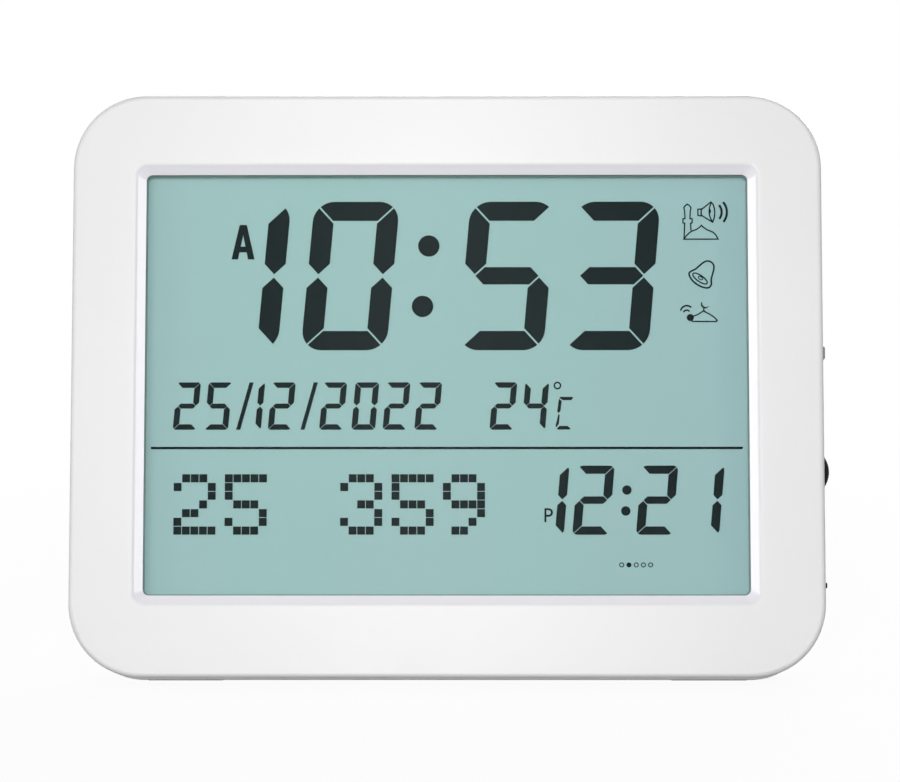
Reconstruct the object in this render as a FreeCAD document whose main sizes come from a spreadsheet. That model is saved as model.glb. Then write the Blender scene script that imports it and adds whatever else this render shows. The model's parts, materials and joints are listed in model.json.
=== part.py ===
import FreeCAD, Part
import math
import operator
import os
from types import SimpleNamespace

import Sketcher
from FreeCAD import Placement, Rotation, Vector

# A wall and table prayer-time clock with a large LCD, standing on its rear prop.
# It is drawn upright in its own frame: X to the right seen from the front, Y from the
# front face to the back, Z up from the case's bottom edge.  clock_frame then leans it
# back onto the table plane Z = 0, and every sub-part is placed by that frame.

SIZES = [
    ("lean_angle", 15, "lean of the case from the vertical, degrees"),
    ("open_angle", 27, "angle between the open prop and the back, degrees"),
    ("case_width", 240, "outside width of the case"),
    ("case_height", 187, "outside height of the case"),
    ("case_depth", 30, "front face to back face"),
    ("front_depth", 13, "front face to the parting line"),
    ("case_corner", 23.5, "corner radius seen from the front"),
    ("wall", 2.2, "side walls of both shells"),
    ("face_thickness", 2.7, "wall behind the front face"),
    ("back_thickness", 2.2, "wall of the back"),
    ("front_rounding", 1.5, "rounding of the front outer edge"),
    ("back_rounding", 4, "rounding of the back outer edge"),
    ("tongue_depth", 2, "tongue of the cover inside the front shell"),
    ("tongue_thickness", 1.2, "thickness of that tongue"),
    ("tongue_root", 3, "root of that tongue along the cover's wall"),
    ("fit_gap", 0.15, "gap between pieces that locate each other"),
    ("slide_gap", 0.25, "gap round pieces that slide or press"),
    ("press_gap", 0.05, "gap between a stem and what it presses"),
    ("hole_gap", 0.2, "gap between a screw and a hole that it passes"),
    ("head_gap", 0.3, "gap round a screw head"),
    ("thread_gap", 0.02, "gap between a thread and its pilot hole"),
    ("left_border", 23.35, "case edge to window, left"),
    ("right_border", 23.6, "case edge to window, right"),
    ("top_border", 25.6, "case edge to window, top"),
    ("bottom_border", 26.15, "case edge to window, bottom"),
    ("window_corner", 2, "corner radius of the window"),
    ("bevel_width", 3.1, "sloping border round the window"),
    ("bevel_depth", 2.4, "depth of that border"),
    ("bevel_corner", 3.2, "outer corner radius of that border"),
    ("bevel_rounding", 2, "rounding between the face and that border"),
    ("seam_chamfer", 0.3, "chamfer of both shells along the parting line"),
    ("lens_thickness", 1.5, "clear lens"),
    ("edge_overlap", 4, "lens and glass behind the frame at the sides and bottom"),
    ("top_overlap", 7, "the same at the top, with the contact ledge"),
    ("gasket_thickness", 0.5, "dark gasket between lens and glass"),
    ("gasket_show", 0.45, "gasket seen inside the window"),
    ("glass_thickness", 1.1, "each glass of the LCD"),
    ("cell_gap", 0.15, "layer of the LCD that holds the segments"),
    ("rear_glass_overlap", 2, "rear glass above the window"),
    ("holder_wall", 2, "rim of the LCD holder"),
    ("holder_back", 1.5, "back plate of the LCD holder"),
    ("holder_gap", 0.3, "gap between the glass and the holder's rim"),
    ("holder_rib", 28, "width of the holder's back plate inside its rim"),
    ("opening_corner", 6, "corner radius of the opening in that plate"),
    ("ear_reach", 3.9, "holder ear screw beyond the rim"),
    ("ear_radius", 2.8, "ear and its boss"),
    ("ear_low", 24.5, "lower ears above the glass's bottom edge"),
    ("ear_high", 18.5, "upper ears below the glass's top edge"),
    ("zebra_height", 2.6, "elastomer connector, height"),
    ("zebra_margin", 16.1, "elastomer connector inside the glass's sides"),
    ("zebra_rise", 2.9, "elastomer connector above the window"),
    ("board_thickness", 1.6, "circuit boards"),
    ("board_corner", 1.5, "corner radius of the circuit boards"),
    ("board_standoff", 1.5, "main board behind the holder"),
    ("board_inset", 7.4, "main board inside the holder's sides"),
    ("board_height", 46, "main board"),
    ("board_drop", 17.2, "main board below the case's top edge"),
    ("board_post_inset", 3.5, "main board screws inside the board's ends"),
    ("board_post_margin", 4, "main board screws inside its upper and lower edges"),
    ("post_radius", 2.5, "posts that carry the circuit boards"),
    ("parts_drop", 14, "controller and its parts below the board's middle"),
    ("blob_radius", 7, "controller, foot of its resin drop"),
    ("blob_top_radius", 4.5, "controller, top of its resin drop"),
    ("blob_height", 1.4, "controller"),
    ("crystal_radius", 1, "crystal can"),
    ("crystal_length", 6.2, "crystal can"),
    ("capacitor_radius", 2.5, "capacitor"),
    ("capacitor_height", 7, "capacitor"),
    ("thermistor_radius", 1, "thermistor"),
    ("thermistor_height", 3.2, "thermistor"),
    ("key_count", 8, "setting keys on the back"),
    ("key_margin", 11, "outer keys inside the main board's ends"),
    ("key_drop", 41.5, "setting keys below the case's top edge"),
    ("key_width", 14, "setting key cap"),
    ("key_tall", 6.4, "setting key cap"),
    ("key_corner", 2.6, "setting key cap"),
    ("key_rounding", 0.5, "outer edge of a setting key cap"),
    ("key_proud", 0.8, "key cap above the back"),
    ("key_flange", 1.5, "flange that keeps the key in"),
    ("flange_reach", 1.2, "that flange beyond the cap"),
    ("key_travel", 0.7, "travel of a key"),
    ("stem_radius", 2, "stem of a setting key"),
    ("switch_size", 6, "side of a tact switch"),
    ("switch_height", 3.5, "tact switch without its plunger"),
    ("plunger_radius", 1.7, "plunger of a tact switch"),
    ("plunger_height", 1.5, "plunger of a tact switch"),
    ("case_screw_angle", 30, "corner screws from their corner's centre, degrees"),
    ("case_screw_mid", 128, "middle case screws above the bottom edge"),
    ("case_screw_radius", 1.3, "thread of a case screw"),
    ("case_head_radius", 2.6, "head of a case screw"),
    ("case_head_height", 1.6, "head of a case screw"),
    ("case_screw_bite", 7, "case screw inside the front shell"),
    ("boss_radius", 3.4, "bosses of the case screws"),
    ("boss_gap", 0.5, "gap between those bosses and the cover's tongue"),
    ("small_screw_radius", 1, "thread of the holder and board screws"),
    ("small_head_radius", 2, "head of the holder and board screws"),
    ("small_head_height", 1.1, "head of the holder and board screws"),
    ("holder_screw_length", 4.5, "holder screws below their heads"),
    ("board_screw_length", 4, "main board screws below their heads"),
    ("side_screw_length", 7, "side board screws below their heads"),
    ("pilot_spare", 0.5, "pilot hole beyond the end of its screw"),
    ("recess_depth", 5.5, "recess of the prop in the back"),
    ("recess_wall", 2, "floor and sides of that recess"),
    ("recess_headroom", 6, "recess above the hinge"),
    ("hinge_height", 108, "prop hinge above the bottom edge"),
    ("hinge_inset", 2.8, "prop hinge behind the back face"),
    ("stand_width", 58, "width of the prop"),
    ("stand_gap", 0.8, "gap between the prop and the sides of its recess"),
    ("stand_corner", 7, "lower corners of the prop"),
    ("stand_thickness", 3.2, "plate of the prop"),
    ("barrel_radius", 2.4, "hinge barrel of the prop"),
    ("pin_radius", 1, "steel hinge pin"),
    ("pin_gap", 0.05, "gap between pin and barrel"),
    ("lip_height", 3.5, "heel of the prop above its hinge"),
    ("lip_thickness", 2, "heel of the prop"),
    ("heel_gap", 0.4, "gap between the barrel and the ledge that stops the heel"),
    ("panel_side", 8, "shallow panel inside the prop's sides"),
    ("panel_top", 18, "shallow panel below the hinge"),
    ("panel_end", 22, "shallow panel above the prop's end"),
    ("panel_corner", 4, "shallow panel, corner radius"),
    ("panel_depth", 1, "shallow panel"),
    ("foot_height", 5, "rubber foot on the prop's end"),
    ("foot_inset", 5, "rubber foot inside the prop's sides"),
    ("foot_grip", 3.2, "prop plate inside the rubber foot"),
    ("foot_wall", 1.4, "rubber in front of the plate"),
    ("foot_back_wall", 0.2, "rubber behind the plate"),
    ("facet_start", 18, "flat under the case starts behind the face"),
    ("sill_height", 5.5, "thick strip above that flat"),
    ("pad_proud", 0.6, "case foot below the flat"),
    ("pad_seat", 0.8, "case foot inside its seat"),
    ("pad_start", 2, "case foot behind the start of the flat"),
    ("pad_length", 24, "case foot along the case"),
    ("pad_width", 8, "case foot from front to back"),
    ("pad_inset", 36, "middle of a case foot inside the case's side"),
    ("bay_inset", 17.6, "battery bay inside the case's left side"),
    ("bay_length", 58, "battery bay, length inside"),
    ("bay_bottom", 24.6, "battery bay, lower side inside"),
    ("bay_wall", 1.8, "walls of the battery bay"),
    ("bay_floor_wall", 1.15, "floor of the battery bay"),
    ("bay_clearance", 0.4, "gap between the cells and that floor"),
    ("cell_count", 3, "AA cells"),
    ("cell_pitch", 15.6, "distance from cell to cell"),
    ("cell_radius", 7.2, "AA cell"),
    ("cell_length", 50.2, "AA cell with its nub"),
    ("nub_radius", 2.7, "AA cell nub"),
    ("nub_length", 1, "AA cell nub"),
    ("contact_thickness", 0.4, "contact plates"),
    ("contact_size", 9, "contact plates"),
    ("spring_radius", 3.2, "contact springs"),
    ("spring_wire", 0.35, "contact springs, wire radius"),
    ("spring_turns", 4, "contact springs"),
    ("door_thickness", 2.2, "battery door"),
    ("door_lap", 0.7, "battery door beyond the bay's long sides"),
    ("door_margin", 2, "battery door beyond the bay at its closed end"),
    ("door_tongue", 1.3, "tongues along the battery door"),
    ("tongue_plate", 1, "thickness of those tongues"),
    ("rail_wall", 1.4, "rails in front of those tongues"),
    ("rail_end", 2.5, "rails beyond the door's closed end"),
    ("grip_pitch", 2.3, "finger grooves of the door and the prop"),
    ("grip_width", 1.15, "one finger groove"),
    ("grip_depth", 0.55, "one finger groove"),
    ("door_grips", 6, "finger grooves on the door"),
    ("door_grip_length", 18, "finger grooves on the door"),
    ("door_grip_margin", 8, "finger grooves inside the door's closed end"),
    ("stand_grips", 4, "finger grooves on the prop"),
    ("stand_grip_length", 24, "finger grooves on the prop"),
    ("stand_grip_rise", 7, "finger grooves above the prop's end"),
    ("keyhole_drop", 22.5, "hanging hole below the case's top edge"),
    ("keyhole_radius", 4.5, "hanging hole, entry"),
    ("keyhole_slot", 2.2, "hanging hole, half width of its slot"),
    ("keyhole_rise", 8, "length of that slot"),
    ("keyhole_pocket", 4.5, "depth behind the hanging hole"),
    ("keyhole_wall", 1.5, "wall in front of that pocket"),
    ("keyhole_margin", 3, "walls round that pocket"),
    ("speaker_inset", 48, "speaker inside the case's right side"),
    ("speaker_up", 48, "speaker above the bottom edge"),
    ("speaker_radius", 20, "speaker basket"),
    ("speaker_rim", 1.5, "rim of the basket"),
    ("speaker_seat", 0.6, "foam ring between rim and back"),
    ("foam_width", 3, "foam ring"),
    ("ring_wall", 1.5, "ring that holds the speaker"),
    ("basket_depth", 8, "cone part of the basket"),
    ("basket_wall", 0.8, "sheet steel of the basket"),
    ("cone_thickness", 0.5, "paper cone"),
    ("cone_inset", 2, "paper cone inside the basket"),
    ("magnet_radius", 10, "speaker magnet"),
    ("magnet_height", 5, "speaker magnet"),
    ("grille_radius", 16, "slots in front of the speaker"),
    ("grille_pitch", 4.6, "distance from slot to slot"),
    ("grille_slot", 2.2, "width of a slot"),
    ("control_depth", 17, "edge controls behind the front face"),
    ("wheel_radius", 8.6, "volume wheel"),
    ("wheel_proud", 2.93, "volume wheel outside the case"),
    ("wheel_up", 66.7, "volume wheel above the bottom edge"),
    ("wheel_width", 3.2, "thickness of the volume wheel"),
    ("wheel_bore", 1.56, "bore of the volume wheel"),
    ("wheel_gap", 0.5, "gap on each side of the volume wheel"),
    ("wheel_rounding", 0.4, "edges of the volume wheel"),
    ("knurl_count", 30, "grooves round the volume wheel"),
    ("knurl_radius", 0.45, "a groove of the volume wheel"),
    ("pot_stud", 1.5, "stud of the volume pot"),
    ("pot_length", 10.4, "volume pot, from side to side"),
    ("pot_height", 11, "volume pot, up and down"),
    ("pot_gap", 0.2, "volume pot in front of its wheel"),
    ("stop_up", 105.3, "stop key above the bottom edge"),
    ("stop_tall", 4.06, "stop key, along the edge"),
    ("stop_wide", 6, "stop key, front to back"),
    ("stop_corner", 1, "stop key"),
    ("stop_proud", 1.85, "stop key outside the case"),
    ("stop_flange", 1.4, "flange that keeps the stop key in"),
    ("stop_switch_inset", 4.1, "stop switch inside the side board's edge"),
    ("stop_switch_tall", 6.6, "stop switch, along the edge"),
    ("stop_switch_deep", 6.5, "stop switch behind its board"),
    ("stop_plunger_radius", 1.5, "plunger of the stop switch"),
    ("stop_plunger_reach", 1.1, "plunger of the stop switch"),
    ("slide_up", 30.2, "slide switch above the bottom edge"),
    ("slide_tall", 1.8, "slide knob, along the edge"),
    ("slide_wide", 3.4, "slide knob, front to back"),
    ("slide_corner", 0.5, "slide knob"),
    ("slide_proud", 1.87, "slide knob outside the case"),
    ("slide_travel", 2, "travel of the slide knob"),
    ("slide_flange", 1, "plate that keeps the slide knob in"),
    ("slide_flange_reach", 1.6, "that plate beyond the knob, along the edge"),
    ("slide_switch_inset", 2.6, "slide switch inside the side board's edge"),
    ("slide_switch_length", 7.4, "slide switch, from side to side"),
    ("slide_switch_deep", 7.8, "slide switch behind its board"),
    ("slide_switch_tall", 14, "slide switch, along the edge"),
    ("edge_rounding", 0.35, "outer edges of the stop key and slide knob"),
    ("edge_stem", 0.6, "their stems as a share of the caps"),
    ("side_board_gap", 1.2, "side board inside the side wall"),
    ("side_board_width", 17.6, "side board"),
    ("side_board_low", 22, "side board, lower end"),
    ("side_board_high", 112, "side board, upper end"),
    ("side_board_depth", 11.1, "side board behind the front face"),
    ("side_post_in", 14, "side board screws inside its outer edge"),
    ("side_post_low", 48, "side board screw, lower"),
    ("side_post_high", 92, "side board screw, upper"),
    ("side_relief", 6, "gap in the cover's tongue for the side board"),
    ("side_relief_margin", 2, "that gap beyond the board's ends"),
    ("time_height", 48.2, "large digits"),
    ("time_width", 27.5, "large digits"),
    ("time_stroke", 6.75, "large digits"),
    ("time_corner", 6.5, "large digits, outer corner radius"),
    ("time_dot", 3.45, "dots of the large colon"),
    ("date_height", 15.25, "date digits"),
    ("date_width", 7.6, "date digits"),
    ("date_stroke", 1.9, "date digits"),
    ("date_corner", 1.1, "date digits, outer corner radius"),
    ("slash_thickness", 1.3, "slash between the date digits"),
    ("slash_reach", 4.2, "slash, from its foot to its top"),
    ("event_height", 22.1, "lower time digits"),
    ("event_width", 11.7, "lower time digits"),
    ("event_stroke", 2.85, "lower time digits"),
    ("event_corner", 1.7, "lower time digits, outer corner radius"),
    ("event_dot", 1.5, "dots of the lower colon"),
    ("bar_share", 0.92, "bars of a digit as a share of its uprights"),
    ("middle_share", 0.83, "middle bar as a share of the uprights"),
    ("slit_share", 0.08, "slit between two strokes as a share of them"),
    ("digit_slant", 5, "slant of the digits, degrees"),
    ("dot_width", 2.5, "dot matrix, one dot"),
    ("dot_height", 2.58, "dot matrix, one dot"),
    ("dot_pitch", 2.73, "dot matrix, dot to dot across"),
    ("dot_rise", 2.79, "dot matrix, dot to dot upwards"),
    ("rule_thickness", 0.55, "line under the date"),
    ("rule_margin", 1.9, "that line inside the window's sides"),
]

# Tools that cut reach this far past the faces they open, and walls and bosses reach this
# far into what carries them.
OVER = 1.0
SINK = 0.5

doc = FreeCAD.newDocument("AzanClock")


class Size:
    """A length that carries its value and the spreadsheet expression that gives it."""

    def __init__(self, value, text):
        self.value = value
        self.text = text

    def __add__(self, other):
        return combine(operator.add, "+", self, other)

    def __radd__(self, other):
        return combine(operator.add, "+", other, self)

    def __sub__(self, other):
        return combine(operator.sub, "-", self, other)

    def __rsub__(self, other):
        return combine(operator.sub, "-", other, self)

    def __mul__(self, other):
        return combine(operator.mul, "*", self, other)

    def __rmul__(self, other):
        return combine(operator.mul, "*", other, self)

    def __truediv__(self, other):
        return combine(operator.truediv, "/", self, other)

    def __neg__(self):
        return 0 - self


def as_size(number):
    if isinstance(number, Size):
        return number
    return Size(number, repr(number))


def combine(action, sign, left, right):
    left, right = as_size(left), as_size(right)
    return Size(action(left.value, right.value), f"({left.text} {sign} {right.text})")


def sine(angle):
    return Size(math.sin(math.radians(angle.value)), f"sin({angle.text})")


def cosine(angle):
    return Size(math.cos(math.radians(angle.value)), f"cos({angle.text})")


def arctangent(ratio):
    return Size(math.degrees(math.atan(ratio.value)), f"atan({ratio.text})")


def root(number):
    return Size(math.sqrt(number.value), f"sqrt({number.text})")


def make_sheet():
    """The driving dimensions, one alias to a row."""
    sheet = doc.addObject("Spreadsheet::Sheet", "Sizes")
    sizes = {}
    for row, (alias, value, note) in enumerate(SIZES, 1):
        sheet.set(f"A{row}", alias)
        sheet.set(f"B{row}", str(value))
        sheet.setAlias(f"B{row}", alias)
        sheet.set(f"C{row}", note)
        sizes[alias] = Size(float(value), f"Sizes.{alias}")
    doc.recompute()
    return SimpleNamespace(**sizes)


d = make_sheet()
pieces = []


def bind(thing, field, size):
    """Tie one property of a document object to the sheet."""
    thing.setExpression(field, as_size(size).text)


def bind_point(thing, field, point):
    for axis, size in zip("xyz", point):
        bind(thing, f"{field}.{axis}", size)


# ---------------------------------------------------------------- primitives

TURN = {
    "x": Rotation(Vector(0, 1, 0), 90),
    "y": Rotation(Vector(1, 0, 0), -90),
    "z": Rotation(),
}


def box(name, low, span):
    """A block from its low corner."""
    made = doc.addObject("Part::Box", name)
    for field, size in zip(("Length", "Width", "Height"), span):
        bind(made, field, size)
    bind_point(made, "Placement.Base", low)
    return made


def rod(name, start, radius, length, axis="y"):
    """A cylinder that runs from start along an axis."""
    made = doc.addObject("Part::Cylinder", name)
    made.Placement = Placement(Vector(), TURN[axis])
    bind(made, "Radius", radius)
    bind(made, "Height", length)
    bind_point(made, "Placement.Base", start)
    return made


def cone(name, start, radius, end_radius, length, axis="y"):
    made = doc.addObject("Part::Cone", name)
    made.Placement = Placement(Vector(), TURN[axis])
    bind(made, "Radius1", radius)
    bind(made, "Radius2", end_radius)
    bind(made, "Height", length)
    bind_point(made, "Placement.Base", start)
    return made


def tilted_box(name, corner, span, angle, sign=1):
    """A block turned about X by an angle, placed by its low corner."""
    made = box(name, corner, span)
    made.Placement = Placement(Vector(), Rotation(Vector(sign, 0, 0), 1))
    bind_point(made, "Placement.Base", corner)
    bind(made, "Placement.Rotation.Angle", angle)
    return made


def fuse(name, shapes):
    made = doc.addObject("Part::MultiFuse", name)
    made.Shapes = shapes
    return made


def cut(name, base, tools):
    made = doc.addObject("Part::Cut", name)
    made.Base = base
    made.Tool = tools[0] if len(tools) == 1 else fuse(f"{name}_tools", tools)
    return made


def common(name, base, tool):
    made = doc.addObject("Part::Common", name)
    made.Base = base
    made.Tool = tool
    return made


def group(name, shapes):
    made = doc.addObject("Part::Compound", name)
    made.Links = shapes
    return made


# ---------------------------------------------------------------- sketched bodies

def new_body(name):
    return doc.addObject("PartDesign::Body", name)


def origin_plane(body, role):
    return next(item for item in body.Origin.OriginFeatures if item.Role == role)


def new_sketch(body, name, offset, role="XZ_Plane"):
    """A sketch on one of the body's own planes: XZ (offset is x, depth, z) or YZ (x, y, z)."""
    made = body.newObject("Sketcher::SketchObject", name)
    made.AttachmentSupport = [(origin_plane(body, role), "")]
    made.MapMode = "FlatFace"
    across, depth, up = offset
    if role == "XZ_Plane":
        bind_point(made, "AttachmentOffset.Base", (across, up, -as_size(depth)))
    else:
        bind_point(made, "AttachmentOffset.Base", (depth, up, across))
    return made


def constrain(sketch, kind, *places, size=None):
    if size is None:
        sketch.addConstraint(Sketcher.Constraint(kind, *places))
        return
    size = as_size(size)
    index = sketch.addConstraint(Sketcher.Constraint(kind, *places, size.value))
    bind(sketch, f"Constraints[{index}]", size)


def draw_rectangle(sketch, width, height, corner):
    """A rectangle with round corners about the sketch's own origin."""
    width, height, corner = as_size(width), as_size(height), as_size(corner)
    right, top, radius = width.value / 2, height.value / 2, corner.value
    inner_x, inner_y = right - radius, top - radius

    def line(start, end):
        return Part.LineSegment(Vector(*start), Vector(*end))

    def arc(centre_x, centre_y, start_degrees):
        circle = Part.Circle(Vector(centre_x, centre_y), Vector(0, 0, 1), radius)
        start = math.radians(start_degrees)
        return Part.ArcOfCircle(circle, start, start + math.pi / 2)

    sketch.addGeometry([
        line((-inner_x, -top), (inner_x, -top)),
        line((right, -inner_y), (right, inner_y)),
        line((inner_x, top), (-inner_x, top)),
        line((-right, inner_y), (-right, -inner_y)),
        arc(inner_x, -inner_y, -90),
        arc(inner_x, inner_y, 0),
        arc(-inner_x, inner_y, 90),
        arc(-inner_x, -inner_y, 180),
    ])
    for side in range(4):
        constrain(sketch, "Tangent", side, 2, side + 4, 1)
        constrain(sketch, "Tangent", side + 4, 2, (side + 1) % 4, 1)
        constrain(sketch, "Horizontal" if side % 2 == 0 else "Vertical", side)
    for other in (5, 6, 7):
        constrain(sketch, "Equal", 4, other)
    constrain(sketch, "Symmetric", 4, 3, 6, 3, -1, 1)
    constrain(sketch, "Radius", 4, size=corner)
    constrain(sketch, "DistanceX", 3, 1, 1, 1, size=width)
    constrain(sketch, "DistanceY", 0, 1, 2, 1, size=height)


def draw_circle(sketch, radius):
    radius = as_size(radius)
    sketch.addGeometry(Part.Circle(Vector(), Vector(0, 0, 1), radius.value))
    constrain(sketch, "Coincident", 0, 3, -1, 1)
    constrain(sketch, "Radius", 0, size=radius)


def rectangle_sketch(body, name, offset, width, height, corner, role="XZ_Plane"):
    made = new_sketch(body, name, offset, role)
    draw_rectangle(made, width, height, corner)
    return made


def pad(body, sketch, length, backwards=True):
    """A pad; backwards from an XZ sketch runs towards +Y."""
    made = body.newObject("PartDesign::Pad", f"{sketch.Name}_pad")
    made.Profile = sketch
    bind(made, "Length", length)
    made.Reversed = backwards
    body.Tip = made
    return made


def pocket(body, sketch, length, backwards=True):
    """A pocket; backwards from an XZ sketch cuts towards -Y."""
    made = body.newObject("PartDesign::Pocket", f"{sketch.Name}_pocket")
    made.Profile = sketch
    bind(made, "Length", length)
    made.Reversed = backwards
    body.Tip = made
    return made


def plate(name, centre, width, height, corner, thickness, role="XZ_Plane"):
    """A flat body with round corners: centre is x, front face depth and z on an XZ plane."""
    body = new_body(name)
    sketch = rectangle_sketch(body, f"{name}_outline", centre, width, height, corner, role)
    pad(body, sketch, thickness, backwards=role == "XZ_Plane")
    return body


def edges_at_depth(feature, depth):
    """The names of the edges that lie at one depth behind the front face."""
    names = []
    for number, edge in enumerate(feature.Shape.Edges, 1):
        if all(abs(vertex.Point.y - depth.value) < 1e-6 for vertex in edge.Vertexes):
            names.append(f"Edge{number}")
    return names


def rim_edges(feature, depth):
    """The names of the edges round the openings of the face that lies at one depth."""
    rims = []
    for face in feature.Shape.Faces:
        if all(abs(vertex.Point.y - depth.value) < 1e-6 for vertex in face.Vertexes):
            inner = [wire for wire in face.Wires if not wire.isSame(face.OuterWire)]
            rims += [edge for wire in inner for edge in wire.Edges]
    return [f"Edge{number}" for number, edge in enumerate(feature.Shape.Edges, 1)
            if any(edge.isSame(rim) for rim in rims)]


def edges_at_x(feature, across):
    names = []
    for number, edge in enumerate(feature.Shape.Edges, 1):
        if all(abs(vertex.Point.x - across.value) < 1e-6 for vertex in edge.Vertexes):
            names.append(f"Edge{number}")
    return names


def round_edges(body, feature, names, radius):
    made = body.newObject("PartDesign::Fillet", f"{feature.Name}_round")
    made.Base = (feature, names)
    bind(made, "Radius", radius)
    body.Tip = made
    return made


# ---------------------------------------------------------------- shared places

centre_up = d.case_height / 2
window_width = d.case_width - d.left_border - d.right_border
window_height = d.case_height - d.top_border - d.bottom_border
window_x = (d.left_border - d.right_border) / 2
window_bottom = d.bottom_border
window_top = window_bottom + window_height
window_up = window_bottom + window_height / 2

# The stack behind the window, front to back.
lens_front = d.face_thickness
gasket_front = lens_front + d.lens_thickness
front_glass = gasket_front + d.gasket_thickness
segment_front = front_glass + d.glass_thickness
rear_glass = segment_front + d.cell_gap
holder_plate = rear_glass + d.glass_thickness
holder_end = holder_plate + d.holder_back
main_board_front = holder_end + d.board_standoff
main_board_back = main_board_front + d.board_thickness
stack_width = window_width + 2 * d.edge_overlap
stack_bottom = window_bottom - d.edge_overlap
stack_top = window_top + d.top_overlap
stack_height = stack_top - stack_bottom
stack_up = (stack_bottom + stack_top) / 2
holder_width = stack_width + 2 * (d.holder_gap + d.holder_wall)
holder_height = stack_height + 2 * (d.holder_gap + d.holder_wall)
ear_x = holder_width / 2 + d.ear_reach
zebra_up = window_top + d.zebra_rise
zebra_length = stack_width - 2 * d.zebra_margin

back_inside = d.case_depth - d.back_thickness
side_inside = d.case_width / 2 - d.wall
screw_reach = (d.case_corner - d.wall - d.fit_gap - d.tongue_thickness
               - d.boss_gap - d.boss_radius)
screw_x = d.case_width / 2 - d.case_corner + screw_reach * cosine(d.case_screw_angle)
screw_low = d.case_corner - screw_reach * sine(d.case_screw_angle)
recess_width = d.stand_width + 2 * d.stand_gap
recess_floor = d.case_depth - d.recess_depth
recess_top = d.hinge_height + d.recess_headroom
hinge_depth = d.case_depth - d.hinge_inset
keyhole_up = d.case_height - d.keyhole_drop

board_width = holder_width - 2 * d.board_inset
board_up = d.case_height - d.board_drop - d.board_height / 2
parts_up = board_up - d.parts_drop
key_up = d.case_height - d.key_drop
side_board_out = side_inside - d.side_board_gap
side_board_back = d.side_board_depth + d.board_thickness
side_post_x = side_board_out - d.side_post_in
wheel_x = d.case_width / 2 + d.wheel_proud - d.wheel_radius
wheel_front = d.control_depth - d.wheel_width / 2
speaker_x = d.case_width / 2 - d.speaker_inset

bay_left = d.bay_inset - d.case_width / 2
bay_right = bay_left + d.bay_length
bay_height = d.cell_count * d.cell_pitch
bay_up = d.bay_bottom + bay_height / 2
door_inside = d.case_depth - d.door_thickness
door_right = bay_right + d.door_margin
door_height = bay_height + 2 * d.door_lap
cell_depth = door_inside - d.fit_gap - d.cell_radius
bay_floor = cell_depth - d.cell_radius - d.bay_clearance

# The clock stands on the plane of its feet: a flat under the case, and the prop's foot.
table_drop = d.facet_start * sine(d.lean_angle) + d.pad_proud
hinge_above_table = (d.hinge_height * cosine(d.lean_angle) - hinge_depth * sine(d.lean_angle)
                     + table_drop)
foot_angle = d.open_angle - d.lean_angle
leg_reach = hinge_above_table / cosine(foot_angle)
foot_back = (d.hinge_height * sine(d.lean_angle) + hinge_depth * cosine(d.lean_angle)
             + leg_reach * sine(foot_angle))


def whole(size):
    return int(size.value)


def case_screw_places():
    heights = (screw_low, d.case_screw_mid, d.case_height - screw_low)
    return [(side * screw_x, up) for up in heights for side in (-1, 1)]


def ear_places():
    low, high = stack_bottom + d.ear_low, stack_top - d.ear_high
    heights = (low, (low + high) / 2, high)
    return [(window_x + side * ear_x, up) for up in heights for side in (-1, 1)]


def board_post_places():
    across = board_width / 2 - d.board_post_inset
    reach = d.board_height / 2 - d.board_post_margin
    return [(side * across, board_up + rise) for rise in (-reach, reach) for side in (-1, 1)]


def side_post_heights():
    return (d.side_post_low, d.side_post_high)


def key_places():
    gaps = d.key_count - 1
    pitch = (board_width - 2 * d.key_margin) / gaps
    return [(number - gaps / 2) * pitch for number in range(whole(d.key_count))]


def cell_places():
    """The height of each cell and whether its nub points left."""
    return [(d.bay_bottom + (number + 0.5) * d.cell_pitch, number % 2 == 0)
            for number in range(whole(d.cell_count))]


def make_clock_frame():
    """Leans the upright clock back and centres it above the origin."""
    frame = doc.addObject("App::Placement", "clock_frame")
    frame.Placement = Placement(Vector(), Rotation(Vector(-1, 0, 0), 1))
    bind_point(frame, "Placement.Base", (-d.wheel_proud / 2, -foot_back / 2, table_drop))
    bind(frame, "Placement.Rotation.Angle", d.lean_angle)


def finish(made, label, at=None, turn=None):
    """Gives a sub-part its label and its place in the leaning clock."""
    made.Label = label
    placing = "clock_frame.Placement"
    if at is not None:
        place = "; ".join(as_size(size).text for size in at)
        angle = "0" if turn is None else turn.text
        placing += f" * placement(vector({place}); rotation(vector(1; 0; 0); {angle}))"
    made.setExpression("Placement", placing)
    pieces.append(made)


# ---------------------------------------------------------------- case

def outer_body(name, depth, length):
    body = new_body(name)
    outline = rectangle_sketch(body, f"{name}_outline", (0, depth, centre_up),
                               d.case_width, d.case_height, d.case_corner)
    return body, pad(body, outline, length)


def round_shell(body, block, depth, radius):
    """Rounds a shell's outer edge at one depth and chamfers it along the parting line."""
    doc.recompute()
    rounded = round_edges(body, block, edges_at_depth(block, as_size(depth)), radius)
    doc.recompute()
    chamfer = body.newObject("PartDesign::Chamfer", f"{block.Name}_seam")
    chamfer.Base = (rounded, edges_at_depth(rounded, d.front_depth))
    bind(chamfer, "Size", d.seam_chamfer)
    body.Tip = chamfer


def hollow(body, name, depth, length, backwards):
    inside = rectangle_sketch(body, f"{name}_inside", (0, depth, centre_up),
                              d.case_width - 2 * d.wall, d.case_height - 2 * d.wall,
                              d.case_corner - d.wall)
    return pocket(body, inside, length, backwards)


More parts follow.
